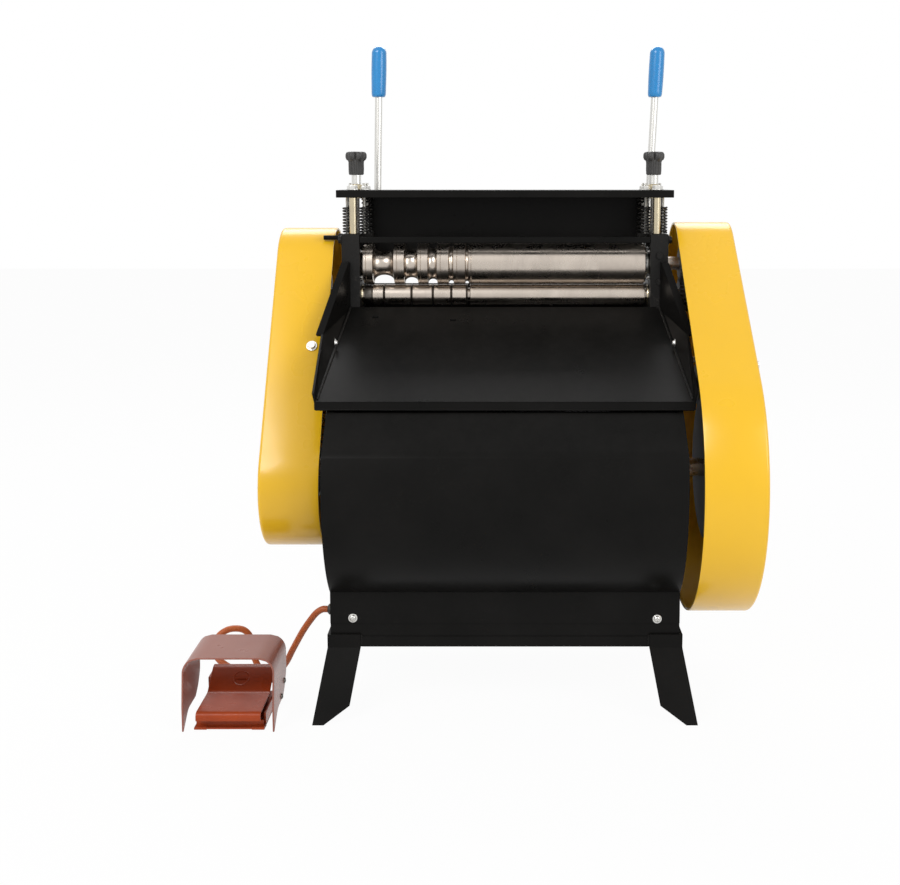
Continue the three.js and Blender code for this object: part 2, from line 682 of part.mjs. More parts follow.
function trayGeometry() {
  const flare = (trayRearHalf - trayFrontHalf) / trayRun;
  const floorShape = polygon([[trayFrontY, trayFrontHeight - trayLip], [trayFrontY + traySheet,
    trayFrontHeight - trayLip], [trayFrontY + traySheet, trayFrontHeight - traySheet / 2], [trayRearY,
    trayRearHeight - traySheet], [trayRearY, trayRearHeight], [trayFrontY, trayFrontHeight]]);
  const floor = plateX(floorShape, -1, 1);
  const positions = floor.attributes.position;
  for (let i = 0; i < positions.count; i += 1) {
    positions.setX(i, positions.getX(i) * (trayFrontHalf + flare * (positions.getY(i) - trayFrontY)));
  }
  const parts = [floor];
  for (const sign of [-1, 1]) {
    const wallShape = polygon([[trayFrontY, trayFrontHeight - traySheet / 2], [trayRearY, trayRearHeight
      - traySheet], [trayRearY, wingTopHeight], [trayRearY - wingInset, wingTopHeight], [wingFrontY,
      wingFrontHeight], [trayFrontY, trayFrontHeight + trayWallHeight]]);
    const wall = plateX(wallShape, ...span(sign, trayFrontHalf - traySheet, trayFrontHalf));
    const flangeShape = polygon([[trayRearY - wingInset, wingTopHeight], [wingFrontY, wingFrontHeight],
      [wingFrontY + traySheet, wingFrontHeight - traySheet], [trayRearY - wingInset + traySheet, wingTopHeight
      - traySheet]]);
    const flange = plateX(flangeShape, ...span(sign, trayFrontHalf - traySheet / 2,
      trayFrontHalf + wingFlange));
    for (const piece of [wall, flange]) {
      const place = piece.attributes.position;
      for (let i = 0; i < place.count; i += 1) {
        const y = place.getY(i);
        const top = place.getZ(i) > trayHeightAt(y) + traySheet;
        const run = Math.max(0, trayRearY - wingInset - y);
        const lean = y < wingFrontY ? wingFrontSpread : wingSpreadShare * run;
        place.setX(i, place.getX(i) + sign * ((top ? lean : 0) + flare * (y - trayFrontY)));
      }
      parts.push(piece);
    }
  }
  const slots = traySlots.map(([x, y]) => block(x - slotLength / 2, x + slotLength / 2, y - slotWidth / 2,
    y + slotWidth / 2, trayHeightAt(y) - traySheet * 3, trayHeightAt(y) + traySheet * 3));
  return cut(join(...parts), ...slots);
}
addPiece('feed_tray', trayGeometry(), 'blackPaint');

// Lift levers: a rod on a hub that turns about a pin behind each post
const leverPivotY = 206;
const leverPivotHeight = 668;
const leverX = { left: -214.5, right: 237 };
const leverLean = { left: 0.022, right: 0.045 }; // sideways lean as a share of the height
const leverRadius = 6;
const leverHubRadius = 12;
const leverHubWidth = 14;
const leverTop = 995;
const gripRadius = 12.5;
const gripMouthRadius = 10.75;
const gripCrownRadius = 9;
const gripCrownDrop = 3.1;
const gripLength = 83;
const pinRadius = 5;
const earThickness = 6;
const earReach = 12;
const bracketThickness = 8;
const bracketHalfHeight = 20;

bothSides((word, sign) => {
  const x = leverX[word];
  const lean = leverLean[word];
  const leanOver = (geometry) => geometry.applyMatrix4(new THREE.Matrix4().makeShear(0, 0, 0, 0, lean, 0)
    .setPosition(-lean * leverPivotHeight, 0, 0));
  const hubHalf = leverHubWidth / 2;
  const hub = rodX(leverHubRadius, x - hubHalf, x + hubHalf, leverPivotY, leverPivotHeight);
  const rod = leanOver(rodZ(leverRadius, leverPivotHeight, leverTop - gripRadius, x, leverPivotY, 16));
  addPiece(`${word}_lever`, cut(join(hub, rod), rodX(pinRadius + shaftGap, x - hubHalf - cutOverrun,
    x + hubHalf + cutOverrun, leverPivotY, leverPivotHeight)), 'zinc');
  const gripBottom = leverTop - gripLength;
  const profile = [[leverRadius + fitGap, gripBottom], [gripMouthRadius, gripBottom], [gripRadius,
    gripBottom + gripRadius], [gripRadius, leverTop - gripRadius], [gripCrownRadius, leverTop
    - gripCrownDrop],
  [0, leverTop], [0, leverTop - gripRadius + fitGap], [leverRadius + fitGap, leverTop - gripRadius + fitGap]];
  const closed = [...profile, profile[0]].map(([r, z]) => new THREE.Vector2(r, z));
  const grip = new THREE.LatheGeometry(closed, 24).rotateX(Math.PI / 2).translate(x, leverPivotY, 0);
  addPiece(`${word}_lever_grip`, leanOver(grip), 'blueGrip');
  // The bracket is bolted to the back of the post, with its ear outside the hub
  const earInner = Math.abs(x) + hubHalf + fitGap;
  const plateFar = Math.max(postOuter, earInner + earThickness);
  const plate = block(...span(sign, earInner, plateFar), postRearY + fitGap,
    postRearY + fitGap + bracketThickness, leverPivotHeight - bracketHalfHeight,
    leverPivotHeight + bracketHalfHeight);
  const ear = block(...span(sign, earInner, earInner + earThickness), postRearY + fitGap,
    leverPivotY + earReach, leverPivotHeight - earReach, leverPivotHeight + earReach);
  const pin = rodX(pinRadius, ...span(sign, Math.abs(x) - hubHalf - fitGap * 4, earInner + earThickness / 2),
    leverPivotY, leverPivotHeight, 16);
  addPiece(`${word}_lever_bracket`, join(plate, ear, pin), 'blackPaint');
});

// Foot switch: a base, a hood over the pedal and a sprung pedal, on its own cable
const footX = -391.5;
const footHalf = 65.5;
const footFrontY = -200;
const footBaseFrontY = -194;
const footBaseRearY = -62;
const footBaseHalf = 52;
const footBaseThickness = 4;
const footBaseWall = 14;
const hoodSheet = 3;
const hoodTop = 105;
const hoodCorner = 22;
const hoodTopFrontY = -190;
const hoodRearY = -98;
const hoodTipRun = 28.5; // the lower edge rises over this run behind the front tips
const hoodTailRun = 31; // and again before the back
const hoodRearLow = 22;
const pedalPivotY = -84;
const pedalPivotHeight = 30;
const pedalHalf = 46;
const pedalFrontY = -198;
const pedalSheet = 4;
const pedalFrontHeight = 27;
const pedalRiseY = -128;
const pedalBackHeight = 52;
const switchBoxHalf = 34;
const switchBoxHeight = 34;
const pedalPinRadius = 3;
const pedalLip = 10; // how far the pedal's front lip hangs down
const pedalEye = 6; // half the height of the metal round the pin

function hoodGeometry() {
  // An arch section carried along Y, then trimmed to the hood's side outline
  const arch = (half, top, corner, low) => {
    const shape = new THREE.Shape();
    shape.moveTo(-half, low);
    shape.lineTo(-half, top - corner);
    shape.absarc(-half + corner, top - corner, corner, Math.PI, Math.PI / 2, true);
    shape.lineTo(half - corner, top);
    shape.absarc(half - corner, top - corner, corner, Math.PI / 2, 0, true);
    shape.lineTo(half, low);
    return shape;
  };
  const along = (shape, y0, y1) => new THREE.ExtrudeGeometry(shape, { depth: y1 - y0, bevelEnabled: false,
    curveSegments: 8 }).rotateX(Math.PI / 2).translate(footX, y1, 0);
  const shell = cut(along(arch(footHalf, hoodTop, hoodCorner, 0), footFrontY, hoodRearY),
    along(arch(footHalf - hoodSheet, hoodTop - hoodSheet, hoodCorner - hoodSheet, -cutOverrun),
      footFrontY - cutOverrun, hoodRearY + cutOverrun));
  const side = polygon([[footFrontY, 0], [footFrontY + hoodTipRun, hoodRearLow], [hoodRearY
    - hoodTailRun, hoodRearLow], [hoodRearY, hoodTop / 2], [hoodRearY, hoodTop + cutOverrun], [hoodTopFrontY,
    hoodTop + cutOverrun], [footFrontY, hoodTop / 3]]);
  return toGeometry(toSolid(shell).intersect(toSolid(plateX(side, footX - footHalf - cutOverrun,
    footX + footHalf + cutOverrun))));
}
addPiece('foot_switch_hood', hoodGeometry(), 'orangePaint', footSwitch);

function footBaseGeometry() {
  const plate = block(footX - footBaseHalf, footX + footBaseHalf, footBaseFrontY, footBaseRearY, 0,
    footBaseThickness);
  const walls = [-1, 1].map((sign) => block(...sorted(footX + sign * footBaseHalf, footX + sign * (footHalf
    - hoodSheet - fitGap)), footBaseFrontY + hoodCorner, footBaseRearY, 0, hoodRearLow + footBaseWall));
  const box = block(footX - switchBoxHalf, footX + switchBoxHalf, pedalPivotY + footBaseThickness * 2,
    footBaseRearY, 0, switchBoxHeight);
  const ears = [-1, 1].map((sign) => block(...sorted(footX + sign * (pedalHalf + fitGap * 2), footX
    + sign * (footBaseHalf + fitGap)), pedalPivotY - footBaseThickness * 2, footBaseRearY, 0,
  pedalPivotHeight + footBaseThickness * 2));
  const pin = rodX(pedalPinRadius, footX - footBaseHalf, footX + footBaseHalf, pedalPivotY,
    pedalPivotHeight, 12);
  return join(plate, ...walls, box, ...ears, pin);
}
addPiece('foot_switch_base', footBaseGeometry(), 'orangePaint', footSwitch);

function pedalGeometry() {
  const shape = polygon([[pedalFrontY, pedalFrontHeight - pedalLip], [pedalFrontY + pedalSheet,
    pedalFrontHeight - pedalLip], [pedalFrontY + pedalSheet, pedalFrontHeight - pedalSheet], [pedalRiseY,
    pedalFrontHeight - pedalSheet + fitGap], [pedalPivotY - pedalSheet, pedalBackHeight - pedalSheet],
  [pedalPivotY - pedalSheet, pedalPivotHeight], [pedalPivotY - pedalSheet, pedalPivotHeight - pedalEye],
  [pedalPivotY + pedalEye, pedalPivotHeight - pedalEye], [pedalPivotY + pedalEye, pedalPivotHeight + pedalLip],
  [pedalPivotY, pedalBackHeight], [pedalRiseY - pedalSheet, pedalFrontHeight],
  [pedalFrontY, pedalFrontHeight]]);
  return cut(plateX(shape, footX - pedalHalf, footX + pedalHalf), rodX(pedalPinRadius + shaftGap,
    footX - pedalHalf - cutOverrun, footX + pedalHalf + cutOverrun, pedalPivotY, pedalPivotHeight, 12));
}
addPiece('foot_pedal', pedalGeometry(), 'orangePaint', footSwitch);

// Cable from the gland on the left rail to the back of the foot switch
const cableRadius = 5;
const cableSides = 10;
const glandRadius = 9;
const glandLength = 16;
const glandY = -40;
const glandHeight = 123;
const glandX = -(bodyHalfWidth + fitGap);
addPiece('cable_gland', rodX(glandRadius, glandX - glandLength, glandX, glandY, glandHeight, 16),
  'blackPlastic');

const cableRoute = [
  [-271.6, -40, 123], [-279, -40, 122.8], [-288, -39, 117.5], [-299.8, -36, 103], [-311, -32.5, 86],
  [-321, -28, 68], [-330.7, -22, 49.4], [-340.4, -14, 29.8], [-351, -6, 15], [-363, 1, 7.5], [-376, 6, 6.5],
  [-388, 9, 9.5], [-395, 12, 20], [-399, 13, 35], [-401, 13, 50], [-404, 12, 62], [-412, 10, 71],
  [-424, 7, 74.5], [-436, 2, 74], [-447, -5, 68], [-452.5, -12, 58], [-452, -20, 46.5], [-443, -26, 36],
  [-428, -30, 27], [-411, -34, 20.5], [-401, -42, 18.4], [-398.3, -51, 18], [-398, -61.4, 18],
];
const cableCurve = new THREE.CatmullRomCurve3(cableRoute.map((p) => new THREE.Vector3(...p)));
console.log('cable length', cableCurve.getLength().toFixed(1));
const cableSteps = 46;
const cableSection = new THREE.Shape();
for (let i = 0; i < cableSides; i += 1) {
  const a = (i / cableSides) * Math.PI * 2;
  const point = [cableRadius * Math.cos(a), cableRadius * Math.sin(a)];
  if (i === 0) cableSection.moveTo(...point); else cableSection.lineTo(...point);
}
addPiece('foot_switch_cable', new THREE.ExtrudeGeometry(cableSection, { steps: cableSteps,
  extrudePath: cableCurve, bevelEnabled: false }), 'orangeCable', footSwitch);

// The part's frame: its origin is the bottom centre of its box, which the cable doesn't set
const part = new THREE.Group();
part.add(machine);
const box = new THREE.Box3();
machine.traverse((piece) => {
  if (piece.isMesh && piece.name !== 'foot_switch_cable') box.expandByObject(piece);
});
const middle = box.getCenter(new THREE.Vector3());
machine.position.set(-middle.x, -middle.y, -box.min.z);
console.log('machine placed at', machine.position.toArray().map((v) => v.toFixed(3)).join(' '));
console.log('box', box.getSize(new THREE.Vector3()).toArray().map((v) => v.toFixed(1)).join(' '));

export default part;
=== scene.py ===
"""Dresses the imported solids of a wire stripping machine: its paint, steel, springs, grips and foot switch.

Lengths are millimetres in the machine's own axes (x to the operator's right, y away from the operator, z up
from the floor), and each mesh is moved into the part's frame in metres when it is made.
"""

from __future__ import annotations

import logging
import math
from dataclasses import dataclass, field
from enum import Enum
from typing import Sequence

import bmesh
import bpy
import numpy as np
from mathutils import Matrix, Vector

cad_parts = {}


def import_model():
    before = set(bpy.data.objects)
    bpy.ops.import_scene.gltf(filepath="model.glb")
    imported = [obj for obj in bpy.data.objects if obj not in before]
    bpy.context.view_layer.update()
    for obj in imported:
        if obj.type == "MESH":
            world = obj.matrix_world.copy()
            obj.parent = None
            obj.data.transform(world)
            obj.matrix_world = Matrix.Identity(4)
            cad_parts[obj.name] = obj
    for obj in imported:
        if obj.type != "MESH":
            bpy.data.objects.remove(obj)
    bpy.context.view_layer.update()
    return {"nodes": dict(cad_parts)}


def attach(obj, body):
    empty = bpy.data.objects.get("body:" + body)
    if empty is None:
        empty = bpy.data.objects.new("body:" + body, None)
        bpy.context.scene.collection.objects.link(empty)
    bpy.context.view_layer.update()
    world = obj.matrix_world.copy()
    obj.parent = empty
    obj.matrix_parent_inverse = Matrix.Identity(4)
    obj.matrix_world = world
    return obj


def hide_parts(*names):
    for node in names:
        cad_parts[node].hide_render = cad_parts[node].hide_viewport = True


Array = np.ndarray
Colour = tuple[float, float, float]
log = logging.getLogger("machine")
MILLIMETRE = 0.001
FRAME_SHIFT = np.array([0.043, -0.016373, 0.0])
TURN = 2 * math.pi


class Axis(Enum):
    """A direction of the machine, as the order in which an outline's own axes are put into x, y and z."""

    X = (1, 2, 0)
    Y = (2, 0, 1)
    Z = (0, 1, 2)


class Side(Enum):
    """A side of the machine and the sign of its x."""

    LEFT = ("left", -1)
    RIGHT = ("right", 1)

    @property
    def word(self) -> str:
        """The side's name, as the nodes use it."""
        return self.value[0]

    @property
    def sign(self) -> int:
        """The sign of x on this side."""
        return self.value[1]


# Grids of points


@dataclass
class Patch:
    """A grid of points, rows by columns by three, in the machine's millimetres.

    ring joins the last column to the first, closed joins the last row to the first, and caps closes each end
    row with one face.
    """

    points: Array
    ring: bool = True
    closed: bool = False
    caps: bool = False

    def faces(self, first: int) -> list[tuple[int, ...]]:
        """Four-sided faces between neighbouring rows and columns.

        Args:
            first: the number of the grid's first vertex in the mesh.

        Returns:
            The faces, as tuples of vertex numbers.
        """
        rows, cols = self.points.shape[:2]
        r, c = np.meshgrid(np.arange(rows if self.closed else rows - 1),
                           np.arange(cols if self.ring else cols - 1), indexing="ij")
        r_next, c_next = (r + 1) % rows, (c + 1) % cols
        quads = np.stack([r * cols + c, r_next * cols + c, r_next * cols + c_next, r * cols + c_next], -1)
        found = [tuple(q) for q in (quads.reshape(-1, 4) + first).tolist()]
        if self.caps:
            found.append(tuple(range(first + cols - 1, first - 1, -1)))
            found.append(tuple(range(first + (rows - 1) * cols, first + rows * cols)))
        return found


def laid(axis: Axis, u: Array, v: Array, w: Array) -> Array:
    """Puts outline coordinates u and v and the distance w along an axis into x, y and z.

    Args:
        axis: the direction that w runs along.
        u: first coordinate across the axis.
        v: second coordinate across the axis.
        w: distance along the axis.

    Returns:
        An array with x, y and z last.
    """
    stacked = np.stack(np.broadcast_arrays(u, v, w), -1)
    if axis is Axis.X:
        return stacked[..., [2, 0, 1]]
    if axis is Axis.Y:
        return stacked[..., [1, 2, 0]]
    return stacked


def turned(profile: Sequence[Sequence[float]], centre: Sequence[float], axis: Axis, sides: int = 48,
           closed: bool = False) -> Patch:
    """A profile of (along, radius) pairs turned round an axis: point = centre + along + radius at angle.

    Args:
        profile: pairs of distance along the axis and radius.
        centre: a point on the axis, where the distance along is 0.
        axis: the direction of the axis.
        sides: how many steps go round.
        closed: whether the profile is a loop, as for a ring.

    Returns:
        The grid, one row for each pair of the profile.
    """
    line = np.asarray(profile, float)
    angle = np.arange(sides) * TURN / sides
    radius = line[:, 1:2]
    points = laid(axis, radius * np.cos(angle), radius * np.sin(angle), np.repeat(line[:, :1], sides, 1))
    return Patch(points + np.asarray(centre, float), closed=closed)


def prism(outline: Sequence[Sequence[float]], axis: Axis, low: float, high: float) -> Patch:
    """An outline carried straight along an axis, with a flat face at each end.

    Args:
        outline: pairs of coordinates across the axis; for X they are y and z, for Y z and x, for Z x and y.
        axis: the direction it is carried.
        low: where it starts.
        high: where it ends.

    Returns:
        The grid of two rows.
    """
    line = np.asarray(outline, float)
    return Patch(np.stack([laid(axis, line[:, 0], line[:, 1], np.full(len(line), w)) for w in (low, high)]),
                 caps=True)


def slab(low: Sequence[float], high: Sequence[float]) -> Patch:
    """A block between two corners; its edges are rounded afterwards with a bevel."""
    (x0, y0, z0), (x1, y1, z1) = low, high
    return prism([(x0, y0), (x1, y0), (x1, y1), (x0, y1)], Axis.Z, z0, z1)


def frames_along(path: Array) -> tuple[Array, Array]:
    """Two directions across a path at each of its points, from its tangent and the least aligned axis.

    Args:
        path: points in order.

    Returns:
        Two arrays of unit vectors across the path.
    """
    tangent = np.gradient(path, axis=0)
    tangent /= np.linalg.norm(tangent, axis=1, keepdims=True)
    spare = np.eye(3)[np.argmin(np.abs(tangent).max(0))]
    across = np.cross(tangent, spare)
    across /= np.linalg.norm(across, axis=1, keepdims=True)
    return across, np.cross(tangent, across)


def tube(path: Array, radius: Array | float, sides: int = 16) -> Patch:
    """A round section carried along a path: point = path + radius * (across cos + other sin).

    Args:
        path: points in order.
        radius: one radius, or one for each point.
        sides: how many steps go round.

    Returns:
        The grid, closed at both ends.
    """
    across, other = frames_along(path)
    angle = np.arange(sides) * TURN / sides
    reach = np.broadcast_to(np.asarray(radius, float), (len(path),))[:, None, None]
    circle = across[:, None] * np.cos(angle)[None, :, None] + other[:, None] * np.sin(angle)[None, :, None]
    return Patch(path[:, None] + reach * circle, caps=True)


def coil(centre: Sequence[float], radius: float, wire: float, turns: float, low: float, high: float) -> Patch:
    """A wound wire with dead turns at both ends: its height follows a smooth step of the angle.

    Args:
        centre: x and y of its axis.
        radius: from the axis to the wire's middle.
        wire: the wire's radius.
        turns: how many turns.
        low: lowest point of the wire.
        high: highest point of the wire.

    Returns:
        The grid of the wire's surface.
    """
    t = np.linspace(0, 1, int(turns * 28) + 1)
    ends = 0.9 / turns
    rise = np.clip((t - ends) / (1 - 2 * ends), 0, 1)
    dead = np.clip(t / ends, 0, 1) + np.clip((t - 1 + ends) / ends, 0, 1)
    height = low + wire + 2 * wire * dead + (high - low - 6 * wire) * rise
    angle = t * turns * TURN
    middle = np.stack([centre[0] + radius * np.cos(angle), centre[1] + radius * np.sin(angle), height], -1)
    outward = np.stack([np.cos(angle), np.sin(angle), 0 * angle], -1)[:, None]
    section = (np.arange(8) * TURN / 8)[None, :, None]
    upward = np.array([0, 0, 1.0])
    return Patch(middle[:, None] + wire * (outward * np.cos(section) + upward * np.sin(section)),
                 caps=True)


def hexagon(centre: Sequence[float], axis: Axis, across: float, low: float, high: float) -> Patch:
    """A hexagon head with the round chamfer of a real one: the flats' radius is cut by a cone near the top.

    Args:
        centre: a point on the axis.
        axis: the direction it stands in.
        across: size across the flats.
        low: where its seat is along the axis.
        high: where its top is along the axis.

    Returns:
        The grid from the seat's middle to the top's middle.
    """
    angle = np.arange(48) * TURN / 48
    flats = across / 2 / np.cos((angle % (TURN / 6)) - TURN / 12)
    chamfer = across * 0.06 * math.copysign(1, high - low)
    rows = [(low, 0 * flats), (low, flats), (high - 2 * chamfer, flats),
            (high - chamfer, np.minimum(flats, across * 0.545)), (high, np.minimum(flats, across * 0.49)),
            (high, 0 * flats)]
    points = [laid(axis, r * np.cos(angle), r * np.sin(angle), np.full(len(angle), w)) for w, r in rows]
    return Patch(np.stack(points) + np.asarray(centre, float))


def washer(centre: Sequence[float], axis: Axis, bore: float, outer: float, low: float, high: float) -> Patch:
    """A flat ring with softened edges between two places along an axis."""
    soft = (high - low) * 0.2
    return turned([(low, bore), (low, outer - abs(soft)), (low + soft, outer), (high - soft, outer),
                   (high, outer - abs(soft)), (high, bore)], centre, axis, 32, closed=True)


def threaded(centre: Sequence[float], axis: Axis, radius: float, pitch: float, low: float,
             high: float) -> Patch:
    """A threaded rod: its radius falls by a saw wave of the thread's pitch, and its ends are chamfered."""
    along = np.arange(low, high, pitch / 2)
    depth = np.where(np.arange(len(along)) % 2 == 0, 0.0, pitch * 0.45)
    profile = [(low, 0.0), *zip(along, radius - depth), (high, radius - pitch * 0.6), (high, 0.0)]
    return turned(profile, centre, axis, 20)


def pan_head(centre: Sequence[float], axis: Axis, radius: float, rise: float) -> Patch:
    """A domed screw head with a cross recess: the dome's height falls where a cross of two bars lies.

    Args:
        centre: the middle of its seat.
        axis: the direction of the axis that it stands along.
        radius: the head's radius.
        rise: its height, negative where it stands towards lower values.

    Returns:
        The grid from the rim to the middle.
    """
    share = np.linspace(1, 0, 14)[:, None]
    angle = (np.arange(40) * TURN / 40)[None]
    u, v = radius * share * np.cos(angle), radius * share * np.sin(angle)
    dome = rise * (1 - share ** 3.2) ** 0.6
    cross = (np.minimum(np.abs(u), np.abs(v)) < radius * 0.13) & (np.hypot(u, v) < radius * 0.6)
    points = laid(axis, u, v, dome - rise * 0.45 * cross)
    skirt = laid(axis, u[:1], v[:1], 0 * u[:1])
    return Patch(np.concatenate([0 * skirt, skirt, points]) + np.asarray(centre, float))


def smoothed(corners: Sequence[Sequence[float]], radius: float, steps: int = 6) -> Array:
    """A path through corners with each inner corner rounded: a quadratic curve between points near the corner.

    Args:
        corners: the path's corner points.
        radius: how far from a corner the rounding starts.
        steps: points on each rounding.

    Returns:
        The rounded path.
    """
    line = np.asarray(corners, float)
    found = [line[:1]]
    t = np.linspace(0, 1, steps)[:, None]
    for before, here, after in zip(line[:-2], line[1:-1], line[2:]):
        a = here + (before - here) * min(0.48, radius / np.linalg.norm(before - here))
        b = here + (after - here) * min(0.48, radius / np.linalg.norm(after - here))
        found.append((1 - t) ** 2 * a + 2 * t * (1 - t) * here + t ** 2 * b)
    return np.concatenate([*found, line[-1:]])


def resampled(path: Array, count: int) -> Array:
    """The same path with points at even distances along it."""
    step = np.linalg.norm(np.diff(path, axis=0), axis=1)
    along = np.concatenate([[0], np.cumsum(step)])
    even = np.linspace(0, along[-1], count)
    return np.stack([np.interp(even, along, path[:, k]) for k in range(path.shape[1])], -1)


# Finishes


class Shading:
    """A node tree, for a material or a node group, with short calls that add and link its nodes."""

    def __init__(self, tree: bpy.types.NodeTree) -> None:
        """Keeps the tree.

        Args:
            tree: the tree that nodes are added to.
        """
        self.tree = tree

    def add(self, kind: str, settings: dict[str, object] | None = None,
            **inputs: object) -> bpy.types.Node:
        """Adds a node, and sets or links its inputs.

        Args:
            kind: the node's type, without the word ShaderNode.
            settings: values of the node's own properties.
            **inputs: a value or another node's output for each input, with _ for a space in its name.

        Returns:
            The node.
        """
        node = self.tree.nodes.new(f"ShaderNode{kind}")
        for key, value in (settings or {}).items():
            setattr(node, key, value)
        for key, value in inputs.items():
            self.put(node, key.replace("_", " "), value)
        return node

    def put(self, node: bpy.types.Node, name: str | int, value: object) -> None:
        """Sets or links one input of a node.

        Args:
            node: the node.
            name: the input's name or number.
            value: a value, or another node's output.
        """
        if isinstance(value, bpy.types.NodeSocket):
            self.tree.links.new(value, node.inputs[name])
        else:
            node.inputs[name].default_value = value

    def mathematics(self, operation: str, first: object, second: object = 0.5) -> bpy.types.NodeSocket:
        """Adds one Math node and returns its output."""
        node = self.add("Math", {"operation": operation})
        self.put(node, 0, first)
        self.put(node, 1, second)
        return node.outputs[0]

    def ranged(self, value: object, low: float, high: float, to_low: object,
               to_high: object) -> bpy.types.NodeSocket:
        """Adds one clamped Map Range node and returns its output."""
        node = self.add("MapRange", {"clamp": True}, Value=value, From_Min=low, From_Max=high, To_Min=to_low,
                        To_Max=to_high)
        return node.outputs[0]

    def blended(self, share: object, first: object, second: object) -> bpy.types.NodeSocket:
        """Adds one colour Mix node and returns its output."""
        node = self.add("Mix", {"data_type": "RGBA"})
        self.put(node, 0, share)
        self.put(node, 6, first)
        self.put(node, 7, second)
        return node.outputs[2]


class Effect(Enum):
    """Surface effects that several finishes use, each a node group that is made once."""

    MOTTLE = "soft_mottle"
    TURNING = "turning_marks"
    SCUFFS = "fine_scuffs"
    DUST = "settled_dust"


